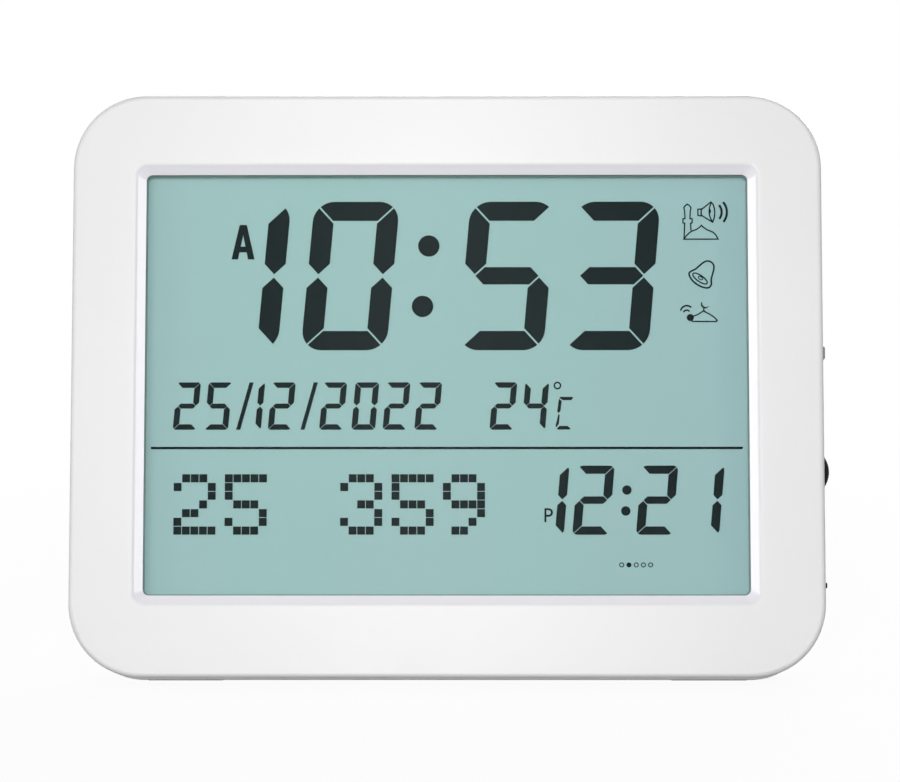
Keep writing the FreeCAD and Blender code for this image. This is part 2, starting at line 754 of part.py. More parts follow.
def front_frame():
    body, block = outer_body("front_shell", 0, d.front_depth)
    round_shell(body, block, 0.0, d.front_rounding)
    hollow(body, "front_shell", d.front_depth, d.front_depth - d.face_thickness, True)
    wide = rectangle_sketch(body, "bevel_front", (window_x, 0, window_up),
                            window_width + 2 * d.bevel_width,
                            window_height + 2 * d.bevel_width, d.bevel_corner)
    narrow = rectangle_sketch(body, "bevel_back", (window_x, d.bevel_depth, window_up),
                              window_width, window_height, d.window_corner)
    loft = body.newObject("PartDesign::SubtractiveLoft", "bevel")
    loft.Profile = wide
    loft.Sections = [narrow]
    loft.Ruled = True
    body.Tip = loft
    doc.recompute()
    round_edges(body, loft, rim_edges(loft, as_size(0.0)), d.bevel_rounding)
    opening = rectangle_sketch(body, "window", (window_x, d.face_thickness, window_up),
                               window_width, window_height, d.window_corner)
    pocket(body, opening, d.face_thickness)
    added, removed = [], []
    for number, (across, up) in enumerate(case_screw_places()):
        added.append(rod(f"front_boss_{number}", (across, d.face_thickness, up),
                         d.boss_radius, d.front_depth - d.face_thickness))
        pilot = d.case_screw_bite + d.pilot_spare
        removed.append(rod(f"front_pilot_{number}", (across, d.front_depth - pilot, up),
                           d.case_screw_radius + d.thread_gap, pilot + OVER))
    for number, (across, up) in enumerate(ear_places()):
        added.append(rod(f"ear_boss_{number}", (across, d.face_thickness, up),
                         d.ear_radius, holder_plate - d.face_thickness))
        pilot = d.holder_screw_length - d.holder_back + d.pilot_spare
        removed.append(rod(f"ear_pilot_{number}", (across, holder_plate - pilot, up),
                           d.small_screw_radius + d.thread_gap, pilot + OVER))
    finish(cut("front_frame", fuse("front_parts", [body] + added), removed), "front_frame")


def stop_ledge_depth():
    """Where the heel of the open prop meets the recess's stop, behind the front face."""
    heel_face = d.barrel_radius - d.lip_thickness
    swing = d.lip_height * sine(d.open_angle) - heel_face * cosine(d.open_angle)
    return hinge_depth - swing - d.fit_gap


def facet_block(name, across, length, start, depth, above, below):
    """A block turned with the table plane: start and depth run along the case's flat."""
    corner = (
        across,
        d.facet_start + start * cosine(d.lean_angle) + below * sine(d.lean_angle),
        start * sine(d.lean_angle) - below * cosine(d.lean_angle),
    )
    return tilted_box(name, corner, (length, depth, above + below), d.lean_angle)


def backed_box(name, across, front, up, width, height):
    """A block that runs from a depth inside the cover into its back."""
    return box(name, (across, front, up), (width, back_inside - front + SINK, height))


def cover_additions():
    """Walls, bosses and boxes inside the rear cover."""
    added = []
    for number, (across, up) in enumerate(case_screw_places()):
        added.append(rod(f"cover_boss_{number}", (across, d.front_depth, up),
                         d.boss_radius, back_inside - d.front_depth + SINK))
    sill_low = d.wall - SINK
    corner_reach = root((2 * d.case_corner - sill_low) * sill_low) - SINK
    sill_half = d.case_width / 2 - d.case_corner + corner_reach
    added.append(backed_box("sill", -sill_half, d.facet_start - OVER, sill_low,
                            2 * sill_half, d.sill_height - sill_low))
    recess_out = recess_width / 2 + d.recess_wall
    added.append(backed_box("recess_box", -recess_out, recess_floor - d.recess_wall,
                            d.wall / 2, 2 * recess_out,
                            recess_top + d.recess_wall - d.wall / 2))
    added.append(backed_box("bay_box", bay_left - d.bay_wall, bay_floor - d.bay_floor_wall,
                            d.bay_bottom - d.bay_wall, d.bay_length + 2 * d.bay_wall,
                            bay_height + 2 * d.bay_wall))
    rail_low = d.bay_bottom - d.bay_wall - d.door_tongue
    added.append(backed_box("rail_box", -side_inside - SINK,
                            door_inside - d.tongue_plate - d.rail_wall, rail_low,
                            door_right + side_inside + d.rail_end + SINK,
                            2 * (bay_up - rail_low)))
    across = -d.keyhole_radius - d.keyhole_margin
    added.append(backed_box("keyhole_box", across,
                            back_inside - d.keyhole_pocket - d.keyhole_wall,
                            keyhole_up + across, -2 * across,
                            d.keyhole_rise - 2 * across))
    for number, up in enumerate(side_post_heights()):
        added.append(rod(f"side_post_{number}", (side_post_x, side_board_back, up),
                         d.post_radius, back_inside - side_board_back + SINK))
    seat_radius = d.speaker_radius + d.fit_gap
    ring = rod("speaker_ring", (speaker_x, back_inside - d.speaker_rim, d.speaker_up),
               seat_radius + d.ring_wall, d.speaker_rim + SINK)
    seat = rod("speaker_ring_hole",
               (speaker_x, back_inside - d.speaker_rim - OVER, d.speaker_up),
               seat_radius, d.speaker_rim + OVER)
    added.append(cut("speaker_wall", ring, [seat]))
    return added


def door_space(name, grow):
    """The T-shaped space of the battery door; grow widens it into the cover's slot."""
    left = -d.case_width / 2 - OVER
    length = door_right - left + grow
    bottom = bay_up - door_height / 2 - grow
    height = door_height + 2 * grow
    panel = box(f"{name}_panel", (left, door_inside, bottom),
                (length, d.door_thickness + OVER, height))
    tongue = box(f"{name}_tongue", (left, door_inside - grow / 2, bottom - d.door_tongue),
                 (length, d.tongue_plate + grow, height + 2 * d.door_tongue))
    return fuse(name, [panel, tongue])


def screw_spaces():
    """The cover's screw holes with seats for their heads."""
    removed = []
    for number, (across, up) in enumerate(case_screw_places()):
        removed.append(rod(f"screw_hole_{number}", (across, d.front_depth - OVER, up),
                           d.case_screw_radius + d.hole_gap,
                           back_inside - d.front_depth + 2 * OVER))
        removed.append(rod(f"head_seat_{number}", (across, back_inside, up),
                           d.case_head_radius + d.head_gap, d.back_thickness + OVER))
    return removed


def stand_spaces():
    """The prop's recess, the room of its heel, its pin's hole, the flat and the pads."""
    half = recess_width / 2
    ledge_up = d.hinge_height + d.barrel_radius + d.heel_gap
    removed = [
        box("recess_space", (-half, recess_floor, -OVER),
            (recess_width, d.recess_depth + OVER, ledge_up + OVER)),
        box("heel_space", (-half, stop_ledge_depth(), ledge_up - SINK),
            (recess_width, d.case_depth - stop_ledge_depth() + OVER,
             recess_top - ledge_up + SINK)),
        rod("pin_hole", (-half - d.recess_wall - OVER, hinge_depth, d.hinge_height),
            d.pin_radius + d.pin_gap, 2 * (half + d.recess_wall + OVER), "x"),
        facet_block("facet_space", -d.case_width / 2 - OVER, d.case_width + 2 * OVER,
                    -2 * d.sill_height, 3 * d.case_depth, as_size(0.0), d.case_depth),
    ]
    for side, name in ((-1, "left_pad_seat"), (1, "right_pad_seat")):
        removed.append(facet_block(name, pad_left(side) - d.fit_gap,
                                   d.pad_length + 2 * d.fit_gap, d.pad_start - d.fit_gap,
                                   d.pad_width + 2 * d.fit_gap, d.pad_seat, as_size(OVER)))
    return removed


def keyhole_spaces():
    """The entry, slot and inner room of the hanging hole."""
    room = back_inside - d.keyhole_pocket
    through = d.back_thickness + SINK + OVER
    slot_end = keyhole_up + d.keyhole_rise
    return [
        rod("keyhole_entry", (0, room, keyhole_up), d.keyhole_radius,
            d.keyhole_pocket + d.back_thickness + OVER),
        box("keyhole_neck", (-d.keyhole_slot, back_inside - SINK, keyhole_up),
            (2 * d.keyhole_slot, through, d.keyhole_rise)),
        rod("keyhole_end", (0, back_inside - SINK, slot_end), d.keyhole_slot, through),
        box("keyhole_head_space", (-d.keyhole_radius, room, keyhole_up),
            (2 * d.keyhole_radius, d.keyhole_pocket, d.keyhole_rise + d.keyhole_radius)),
    ]


def grille_spaces():
    """Upright slots in front of the speaker, as long as a circle allows."""
    removed = []
    end_radius = d.grille_slot * 0.48
    half_count = int(d.grille_radius.value // d.grille_pitch.value)
    for number in range(-half_count, half_count + 1):
        offset = number * d.grille_pitch
        reach = root(d.grille_radius * d.grille_radius - offset * offset)
        removed.append(plate(f"grille_{number + half_count}",
                             (speaker_x + offset, back_inside - SINK, d.speaker_up),
                             d.grille_slot, 2 * reach, end_radius,
                             d.back_thickness + SINK + OVER))
    return removed


def edge_spaces():
    """Holes in the right side wall for the wheel, the stop key and the slide knob."""
    start = side_inside - OVER
    through = d.wall + 2 * OVER
    return [
        box("wheel_slot",
            (start, wheel_front - d.wheel_gap, d.wheel_up - d.wheel_radius),
            (through, d.wheel_width + 2 * d.wheel_gap, 2 * d.wheel_radius)),
        plate("stop_hole", (start, d.control_depth, d.stop_up),
              d.stop_wide + 2 * d.slide_gap, d.stop_tall + 2 * d.slide_gap, d.stop_corner,
              through, "YZ_Plane"),
        box("slide_slot",
            (start, d.control_depth - d.slide_wide / 2 - d.slide_gap,
             d.slide_up - d.slide_tall / 2 - d.slide_gap),
            (through, d.slide_wide + 2 * d.slide_gap,
             d.slide_tall + d.slide_travel + 2 * d.slide_gap)),
    ]


def cover_removals():
    """Holes, recesses and slots of the rear cover."""
    removed = screw_spaces() + stand_spaces()
    removed.append(box("bay_space", (bay_left, bay_floor, d.bay_bottom),
                       (d.bay_length, d.case_depth - bay_floor, bay_height)))
    removed.append(door_space("door_slot", d.slide_gap))
    removed += keyhole_spaces()
    for number, across in enumerate(key_places()):
        removed.append(plate(f"key_hole_{number}", (across, back_inside - OVER, key_up),
                             d.key_width + 2 * d.slide_gap, d.key_tall + 2 * d.slide_gap,
                             d.key_corner + d.slide_gap, d.back_thickness + 2 * OVER))
    removed += grille_spaces()
    pilot = d.side_screw_length - d.board_thickness + d.pilot_spare
    for number, up in enumerate(side_post_heights()):
        removed.append(rod(f"side_pilot_{number}", (side_post_x, side_board_back - OVER, up),
                           d.small_screw_radius + d.thread_gap, pilot + OVER))
    return removed + edge_spaces()


def ring_plate(name, inset, depth, length):
    """A plate that follows the case's outline at an inset."""
    return plate(name, (0, depth, centre_up), d.case_width - 2 * inset,
                 d.case_height - 2 * inset, d.case_corner - inset, length)


def rear_cover():
    body, block = outer_body("cover_shell", d.front_depth, d.case_depth - d.front_depth)
    round_shell(body, block, d.case_depth, d.back_rounding)
    hollow(body, "cover_shell", d.front_depth, back_inside - d.front_depth, False)
    tongue_front = d.front_depth - d.tongue_depth
    tongue_length = d.tongue_depth + d.tongue_root
    outer_inset = d.wall + d.fit_gap
    outside = ring_plate("tongue_outside", outer_inset, tongue_front, tongue_length)
    root_ring = ring_plate("tongue_root", d.wall / 2, d.front_depth, d.tongue_root)
    inside = ring_plate("tongue_inside", outer_inset + d.tongue_thickness,
                        tongue_front - OVER, tongue_length + 2 * OVER)
    board_room = box("tongue_relief",
                     (side_inside - d.side_relief, tongue_front - OVER,
                      d.side_board_low - d.side_relief_margin),
                     (d.side_relief, tongue_length + 2 * OVER,
                      d.side_board_high - d.side_board_low + 2 * d.side_relief_margin))
    tongue = cut("tongue", fuse("tongue_rings", [outside, root_ring]), [inside, board_room])
    parts = fuse("cover_parts", [body, tongue] + cover_additions())
    finish(cut("rear_cover", parts, cover_removals()), "rear_cover")


def battery_door():
    body, block = outer_body("door_envelope", d.front_depth, d.case_depth - d.front_depth)
    doc.recompute()
    round_edges(body, block, edges_at_depth(block, d.case_depth), d.back_rounding)
    panel = common("door_panel", door_space("door_space", as_size(0.0)), body)
    grooves = []
    for number in range(whole(d.door_grips)):
        grooves.append(box(f"door_grip_{number}",
                           (door_right - d.door_grip_margin - number * d.grip_pitch,
                            d.case_depth - d.grip_depth, bay_up - d.door_grip_length / 2),
                           (d.grip_width, d.grip_depth + OVER, d.door_grip_length)))
    finish(cut("battery_door", panel, grooves), "battery_door")


# ---------------------------------------------------------------- window and LCD

def stack_plate(name, depth, thickness):
    return plate(name, (window_x, depth, stack_up), stack_width, stack_height,
                 d.window_corner, thickness)


def window_stack():
    finish(stack_plate("window_lens", lens_front, d.lens_thickness), "window_lens")
    ring = stack_plate("gasket_outside", gasket_front, d.gasket_thickness)
    hole = plate("gasket_hole", (window_x, gasket_front - OVER, window_up),
                 window_width - 2 * d.gasket_show, window_height - 2 * d.gasket_show,
                 d.window_corner - d.gasket_show, d.gasket_thickness + 2 * OVER)
    finish(cut("lcd_gasket", ring, [hole]), "lcd_gasket")
    finish(stack_plate("lcd_front_glass", front_glass, d.glass_thickness), "lcd_front_glass")
    height = window_top + d.rear_glass_overlap - stack_bottom
    finish(plate("lcd_rear_glass", (window_x, rear_glass, stack_bottom + height / 2),
                 stack_width, height, d.window_corner, d.glass_thickness), "lcd_rear_glass")


def lcd_holder():
    outside = plate("holder_outside", (window_x, lens_front, stack_up),
                    holder_width, holder_height, d.window_corner + d.holder_wall,
                    holder_end - lens_front)
    added, removed = [outside], []
    for number, (across, up) in enumerate(ear_places()):
        added.append(rod(f"ear_{number}", (across, holder_plate, up), d.ear_radius,
                         d.holder_back))
        start = across if number % 2 == 0 else across - d.ear_reach - SINK
        added.append(box(f"ear_arm_{number}", (start, holder_plate, up - d.ear_radius),
                         (d.ear_reach + SINK, d.holder_back, 2 * d.ear_radius)))
        removed.append(rod(f"ear_hole_{number}", (across, holder_plate - OVER, up),
                           d.small_screw_radius + d.hole_gap, d.holder_back + 2 * OVER))
    for number, (across, up) in enumerate(board_post_places()):
        added.append(rod(f"board_post_{number}", (across, holder_end - SINK, up),
                         d.post_radius, d.board_standoff + SINK))
        removed.append(rod(f"board_pilot_{number}", (across, holder_end - OVER, up),
                           d.small_screw_radius + d.thread_gap, d.board_standoff + 2 * OVER))
    removed.append(plate("holder_space", (window_x, lens_front - OVER, stack_up),
                         stack_width + 2 * d.holder_gap, stack_height + 2 * d.holder_gap,
                         d.window_corner, holder_plate - lens_front + OVER))
    removed.append(plate("holder_opening", (window_x, holder_plate - OVER, window_up),
                         window_width - 2 * d.holder_rib, window_height - 2 * d.holder_rib,
                         d.opening_corner, d.holder_back + 2 * OVER))
    removed.append(box("zebra_slot",
                       (window_x - zebra_length / 2 - d.fit_gap, holder_plate - OVER,
                        zebra_up - d.fit_gap),
                       (zebra_length + 2 * d.fit_gap, d.holder_back + 2 * OVER,
                        d.zebra_height + 2 * d.fit_gap)))
    finish(cut("lcd_holder", fuse("holder_parts", added), removed), "lcd_holder")


def zebra_strip():
    strip = box("zebra", (window_x - zebra_length / 2, segment_front, zebra_up),
                (zebra_length, main_board_front - segment_front, d.zebra_height))
    finish(group("zebra_strip", [strip]), "zebra_strip")


# ---------------------------------------------------------------- LCD segments

STROKES = {
    "0": "abcdef", "1": "bc", "2": "abged", "3": "abgcd", "4": "fgbc", "5": "afgcd",
    "6": "afgedc", "7": "abc", "8": "abcdefg", "9": "abcdfg",
}

# Five by seven dot patterns of the figures, one string to a row.
DOT_ROWS = {
    "2": ("01110", "10001", "00001", "00010", "01100", "10000", "11111"),
    "5": ("11111", "10000", "10000", "01110", "00001", "10001", "01110"),
    "3": ("01110", "10001", "00001", "00110", "00001", "10001", "01110"),
    "9": ("01110", "10001", "10001", "01111", "00001", "00010", "01100"),
}

# The artwork is drawn for a window of this width and height, and its places stretch with
# the real one.  A place is measured from the middle of the window.
ARTWORK_WIDTH = 193.05
ARTWORK_HEIGHT = 135.25

TIME_ROW = 11.25
TIME = (("1", -81.8), ("0", -46.85), ("5", 3.45), ("3", 37.1))
TIME_COLON = ((-5.8, 45.05), (-7.8, 25.45))
DATE_ROW = -14.38
DATE = (("2", -87.7), ("5", -77.6), ("1", -67.1), ("2", -57.3), ("2", -40.85), ("0", -30.55),
        ("2", -20.55), ("2", -10.4), ("2", 13.65), ("4", 23.85))
SLASHES = (-67.4, -46.8)
RULE_ROW = -20.45
EVENT_ROW = -48.03
EVENT = (("1", 25.6), ("2", 40.0), ("2", 60.3), ("1", 75.1))
EVENT_COLON = ((57.5, -33.75), (57.1, -40.45))
MATRIX_ROW = -48.0
MATRIX = (("2", -87.2), ("5", -70.85), ("3", -34.0), ("5", -17.6), ("9", -1.2))
ARC_STEPS = 4


def on_glass(across, up):
    """A place of the artwork, carried onto the glass."""
    return (window_x.value + across * window_width.value / ARTWORK_WIDTH,
            window_up.value + up * window_height.value / ARTWORK_HEIGHT)


def arc_points(centre_x, centre_up, radius, start, end):
    """Points along an arc; the angles are in degrees."""
    angles = [math.radians(start + (end - start) * step / ARC_STEPS)
              for step in range(ARC_STEPS + 1)]
    return [(centre_x + radius * math.cos(angle), centre_up + radius * math.sin(angle))
            for angle in angles]


def stroke_outlines(width, height, stroke, corner):
    """The seven strokes of a figure on an upright grid.

    Bars and uprights meet in mitres with a slit between them and have a round outer
    corner; the uprights end in a point at half height, beside the middle bar's points.
    """
    bar, half = stroke * d.bar_share.value, stroke / 2
    slit = stroke * d.slit_share.value
    mitre = slit * math.sqrt(0.5)
    swing = math.degrees(math.asin(mitre / (corner * math.sqrt(2))))
    middle, high = height / 2, height - corner
    top = [(bar + mitre, height - bar), (width - bar - mitre, height - bar)]
    top += arc_points(width - corner, high, corner, 45 + swing, 90)
    top += arc_points(corner, high, corner, 90, 135 - swing)
    upright = arc_points(corner, high, corner, 135 + swing, 180)
    upright += [(0.0, middle + slit + half), (half, middle + slit),
                (stroke, middle + slit + half), (stroke, height - stroke - mitre)]
    point = half + slit * (math.sqrt(2) - 1)
    thick = stroke * d.middle_share.value / 2
    centre = [(point, middle), (point + thick, middle + thick),
              (width - point - thick, middle + thick), (width - point, middle),
              (width - point - thick, middle - thick), (point + thick, middle - thick)]

    def across(points):
        return [(width - x, up) for x, up in points]

    def over(points):
        return [(x, height - up) for x, up in points]

    return {"a": top, "b": across(upright), "c": over(across(upright)), "d": over(top),
            "e": over(upright), "f": upright, "g": centre}


def layer(points):
    """A thin solid in the LCD's cell from an outline of x and z."""
    loop = [Vector(x, segment_front.value, up) for x, up in points]
    face = Part.Face(Part.makePolygon(loop + loop[:1]))
    return face.extrude(Vector(0, d.cell_gap.value, 0))


def figure(text, place, sizes):
    """One slanted seven-stroke figure; its strokes are separate solids."""
    slope = math.tan(math.radians(d.digit_slant.value))
    outlines = stroke_outlines(*(size.value for size in sizes))
    left, base = on_glass(*place)
    return [layer([(left + x + slope * up, base + up) for x, up in outlines[stroke]])
            for stroke in STROKES[text]]


def dot(place, radius):
    across, up = on_glass(*place)
    return Part.makeCylinder(radius.value, d.cell_gap.value,
                             Vector(across, segment_front.value, up), Vector(0, 1, 0))


def slash(place):
    left, base = on_glass(*place)
    right, top = left + d.slash_reach.value, base + d.date_height.value
    thick = d.slash_thickness.value
    return layer([(left, base), (left + thick, base), (right + thick, top), (right, top)])


def dot_figure(text, place):
    """A figure of square dots, which are separate solids."""
    left, base = on_glass(*place)
    solids = []
    for row, marks in enumerate(reversed(DOT_ROWS[text])):
        for column, mark in enumerate(marks):
            if mark == "1":
                x, up = left + column * d.dot_pitch.value, base + row * d.dot_rise.value
                right, top = x + d.dot_width.value, up + d.dot_height.value
                solids.append(layer([(x, up), (right, up), (right, top), (x, top)]))
    return solids


def lcd_segments():
    """Time, date, temperature, day numbers and the next event's time."""
    solids = []
    rows = (
        (TIME, TIME_ROW, (d.time_width, d.time_height, d.time_stroke, d.time_corner)),
        (DATE, DATE_ROW, (d.date_width, d.date_height, d.date_stroke, d.date_corner)),
        (EVENT, EVENT_ROW, (d.event_width, d.event_height, d.event_stroke, d.event_corner)),
    )
    for figures, row, sizes in rows:
        for text, across in figures:
            solids += figure(text, (across, row), sizes)
    solids += [dot(place, d.time_dot) for place in TIME_COLON]
    solids += [dot(place, d.event_dot) for place in EVENT_COLON]
    solids += [slash((across, DATE_ROW)) for across in SLASHES]
    for text, across in MATRIX:
        solids += dot_figure(text, (across, MATRIX_ROW))
    middle, low = on_glass(0, RULE_ROW)
    reach = window_width.value / 2 - d.rule_margin.value
    high = low + d.rule_thickness.value
    solids.append(layer([(middle - reach, low), (middle + reach, low),
                         (middle + reach, high), (middle - reach, high)]))
    made = doc.addObject("Part::Feature", "lcd_segments")
    made.Shape = Part.makeCompound(solids)
    finish(made, "lcd_segments")


# ---------------------------------------------------------------- electronics

def drilled_board(name, outline, front, places):
    """A circuit board with holes for its screws; outline is x, z, width and height."""
    across, up, width, height = outline
    board = plate(f"{name}_plate", (across, front, up), width, height, d.board_corner,
                  d.board_thickness)
    holes = [rod(f"{name}_hole_{number}", (hole_x, front - OVER, hole_up),
                 d.small_screw_radius + d.hole_gap, d.board_thickness + 2 * OVER)
             for number, (hole_x, hole_up) in enumerate(places)]
    finish(cut(name, board, holes), name)


def main_board():
    """The board behind the LCD; its parts stand at shares of its width from its middle."""
    drilled_board("main_board", (0, board_up, board_width, d.board_height),
                  main_board_front, board_post_places())
    blob = cone("blob", (0, main_board_back, parts_up), d.blob_radius, d.blob_top_radius,
                d.blob_height)
    finish(group("controller", [blob]), "controller")
    can = rod("crystal_can", (0.1 * board_width, main_board_back + d.crystal_radius, parts_up),
              d.crystal_radius, d.crystal_length, "x")
    finish(group("crystal", [can]), "crystal")
    cans = [rod(f"capacitor_{number}", (share * board_width, main_board_back, parts_up),
                d.capacitor_radius, d.capacitor_height)
            for number, share in enumerate((-0.35, -0.3, 0.27))]
    finish(group("capacitors", cans), "capacitors")
    bead = rod("thermistor_bead", (0.4 * board_width, main_board_back, parts_up),
               d.thermistor_radius, d.thermistor_height)
    finish(group("thermistor", [bead]), "thermistor")


def key_switches():
    """One tact switch behind each setting key: case and plunger."""
    solids = []
    half = d.switch_size / 2
    for number, across in enumerate(key_places()):
        case = box(f"switch_{number}", (across - half, main_board_back, key_up - half),
                   (d.switch_size, d.switch_height, d.switch_size))
        plunger = rod(f"plunger_{number}",
                      (across, main_board_back + d.switch_height - SINK, key_up),
                      d.plunger_radius, d.plunger_height + SINK)
        solids.append(fuse(f"key_switch_{number}", [case, plunger]))
    finish(group("key_switches", solids), "key_switches")


def setting_key(number, across):
    """Cap, flange and stem of one setting key."""
    name = f"setting_key_{number + 1}"
    body = new_body(f"{name}_body")
    key_end = d.case_depth + d.key_proud
    flange_back = back_inside - d.slide_gap
    flange_front = flange_back - d.key_flange
    cap = rectangle_sketch(body, f"{name}_cap", (across, flange_back - SINK, key_up),
                           d.key_width, d.key_tall, d.key_corner)
    cap_pad = pad(body, cap, key_end - flange_back + SINK)
    doc.recompute()
    round_edges(body, cap_pad, edges_at_depth(cap_pad, key_end), d.key_rounding)
    flange = rectangle_sketch(body, f"{name}_flange", (across, flange_front, key_up),
                              d.key_width + 2 * d.flange_reach,
                              d.key_tall + 2 * d.flange_reach, d.key_corner)
    pad(body, flange, d.key_flange)
    stem_end = (main_board_back + d.switch_height + d.plunger_height + d.key_travel
                + d.press_gap)
    stem = new_sketch(body, f"{name}_stem", (across, stem_end, key_up))
    draw_circle(stem, d.stem_radius)
    pad(body, stem, flange_front - stem_end + SINK)
    finish(body, name)


def side_board():
    height = d.side_board_high - d.side_board_low
    drilled_board("side_board",
                  (side_board_out - d.side_board_width / 2, d.side_board_low + height / 2,
                   d.side_board_width, height),
                  d.side_board_depth, [(side_post_x, up) for up in side_post_heights()])


def volume_pot():
    base = box("pot_base",
               (side_board_out - d.pot_length, side_board_back, d.wheel_up - d.pot_height / 2),
               (d.pot_length, wheel_front - d.pot_gap - side_board_back, d.pot_height))
    start = wheel_front - d.pot_gap - SINK
    stud = rod("pot_stud_rod", (wheel_x, start, d.wheel_up), d.pot_stud,
               wheel_front + d.wheel_width - start)
    finish(fuse("volume_pot", [base, stud]), "volume_pot")


def volume_wheel():
    """A knurled wheel about its own Y axis."""
    body = new_body("wheel_body")
    half = d.wheel_width / 2
    rim = new_sketch(body, "wheel_rim", (0, -half, 0))
    draw_circle(rim, d.wheel_radius)
    disc = pad(body, rim, d.wheel_width)
    doc.recompute()
    edges = edges_at_depth(disc, -half) + edges_at_depth(disc, half)
    round_edges(body, disc, edges, d.wheel_rounding)
    bore = new_sketch(body, "wheel_bore_sketch", (0, half, 0))
    draw_circle(bore, d.wheel_bore)
    pocket(body, bore, d.wheel_width)
    groove = new_sketch(body, "knurl", (d.wheel_radius, half, 0))
    draw_circle(groove, d.knurl_radius)
    knurl = pocket(body, groove, d.wheel_width)
    doc.recompute()
    pattern = body.newObject("PartDesign::PolarPattern", "knurls")
    pattern.Originals = [knurl]
    axis = next(item for item in body.Origin.OriginFeatures if item.Role == "Y_Axis")
    pattern.Axis = (axis, [""])
    pattern.Angle = 360
    bind(pattern, "Occurrences", d.knurl_count)
    body.Tip = pattern
    finish(body, "volume_wheel", at=(wheel_x, d.control_depth, d.wheel_up))


def edge_key(name, up, cap, proud, stem_end, flange):
    """A key through the side wall: cap, flange inside the wall and stem.

    The cap is its width from front to back, its height and its corner radius; the flange
    is its reach beyond the cap, front to back and along the edge, and its thickness.
    """
    body = new_body(f"{name}_body")
    wide, tall, corner = cap
    reach_wide, reach_tall, thick = flange
    flange_end = side_inside - d.slide_gap
    flange_start = flange_end - thick
    outside = d.case_width / 2 + proud
    outline = rectangle_sketch(body, f"{name}_cap", (flange_end - SINK, d.control_depth, up),
                               wide, tall, corner, "YZ_Plane")
    cap_pad = pad(body, outline, outside - flange_end + SINK, backwards=False)
    doc.recompute()
    round_edges(body, cap_pad, edges_at_x(cap_pad, outside), d.edge_rounding)
    outline = rectangle_sketch(body, f"{name}_flange", (flange_start, d.control_depth, up),
                               wide + 2 * reach_wide, tall + 2 * reach_tall, corner,
                               "YZ_Plane")
    pad(body, outline, thick, backwards=False)
    outline = rectangle_sketch(body, f"{name}_stem", (stem_end, d.control_depth, up),
                               wide * d.edge_stem, tall * d.edge_stem, corner * d.edge_stem,
                               "YZ_Plane")
    pad(body, outline, flange_start - stem_end + SINK, backwards=False)
    finish(body, name)


def stop_control():
    switch_out = side_board_out - d.stop_switch_inset
    case = box("stop_switch_case",
               (switch_out - d.switch_size, side_board_back,
                d.stop_up - d.stop_switch_tall / 2),
               (d.switch_size, d.stop_switch_deep, d.stop_switch_tall))
    plunger = rod("stop_plunger", (switch_out - SINK, d.control_depth, d.stop_up),
                  d.stop_plunger_radius, d.stop_plunger_reach + SINK, "x")
    finish(fuse("stop_switch", [case, plunger]), "stop_switch")
    edge_key("stop_key", d.stop_up, (d.stop_wide, d.stop_tall, d.stop_corner), d.stop_proud,
             switch_out + d.stop_plunger_reach + d.key_travel + d.press_gap,
             (d.flange_reach, d.flange_reach, d.stop_flange))


def slide_control():
    switch_out = side_board_out - d.slide_switch_inset
    middle = d.slide_up + d.slide_travel / 2
    case = box("slide_case",
               (switch_out - d.slide_switch_length, side_board_back,
                middle - d.slide_switch_tall / 2),
               (d.slide_switch_length, d.slide_switch_deep, d.slide_switch_tall))
    finish(group("slide_switch", [case]), "slide_switch")
    edge_key("slide_knob", d.slide_up, (d.slide_wide, d.slide_tall, d.slide_corner),
             d.slide_proud, switch_out + d.press_gap,
             (d.slide_flange_reach / 2, d.slide_flange_reach, d.slide_flange))


def speaker():
    rim_back = back_inside - d.speaker_seat
    rim_front = rim_back - d.speaker_rim
    basket_front = rim_front - d.basket_depth
    inside_radius = d.speaker_radius - d.foam_width

    def at(depth):
        return (speaker_x, depth, d.speaker_up)

    rim = rod("basket_rim", at(rim_front), d.speaker_radius, d.speaker_rim)
    funnel = cone("basket_funnel", at(basket_front), d.magnet_radius + 2 * d.basket_wall,
                  inside_radius + d.basket_wall, d.basket_depth)
    inner = cone("basket_inside", at(basket_front + d.basket_wall),
                 d.magnet_radius + d.basket_wall, inside_radius,
                 d.basket_depth - d.basket_wall)
    mouth = rod("basket_mouth", at(rim_front - d.thread_gap), inside_radius,
                d.speaker_rim + OVER)
    finish(cut("speaker_basket", fuse("basket_parts", [rim, funnel]), [inner, mouth]),
           "speaker_basket")
    magnet = rod("magnet", at(basket_front - d.magnet_height), d.magnet_radius,
                 d.magnet_height)
    finish(group("speaker_magnet", [magnet]), "speaker_magnet")
    coil_radius = d.magnet_radius - d.cone_inset
    paper_front = basket_front + d.cone_inset
    mouth_radius = inside_radius - d.cone_thickness
    paper_depth = rim_back - paper_front - d.cone_thickness
    outer = cone("cone_outside", at(paper_front), coil_radius, mouth_radius, paper_depth)
    hollow_cone = cone("cone_inside", at(paper_front + d.cone_thickness), coil_radius,
                       mouth_radius, paper_depth)
    finish(cut("speaker_cone", outer, [hollow_cone]), "speaker_cone")
    ring = rod("foam_outside", at(rim_back), d.speaker_radius, d.speaker_seat)
    hole = rod("foam_hole", at(rim_back - OVER), inside_radius, d.speaker_seat + 2 * OVER)
    finish(cut("speaker_gasket", ring, [hole]), "speaker_gasket")


# ---------------------------------------------------------------- batteries

def cells():
    for number, (up, nub_left) in enumerate(cell_places()):
        can_length = d.cell_length - d.nub_length
        if nub_left:
            nub_start = bay_left + d.contact_thickness
            can_start = nub_start + d.nub_length
        else:
            can_start = bay_right - d.contact_thickness - d.cell_length
            nub_start = can_start + can_length - SINK
        can = rod(f"cell_can_{number}", (can_start, cell_depth, up), d.cell_radius,
                  can_length, "x")
        nub = rod(f"cell_nub_{number}", (nub_start, cell_depth, up), d.nub_radius,
                  d.nub_length + SINK, "x")
        finish(fuse(f"aa_cell_{number + 1}", [can, nub]), f"aa_cell_{number + 1}")


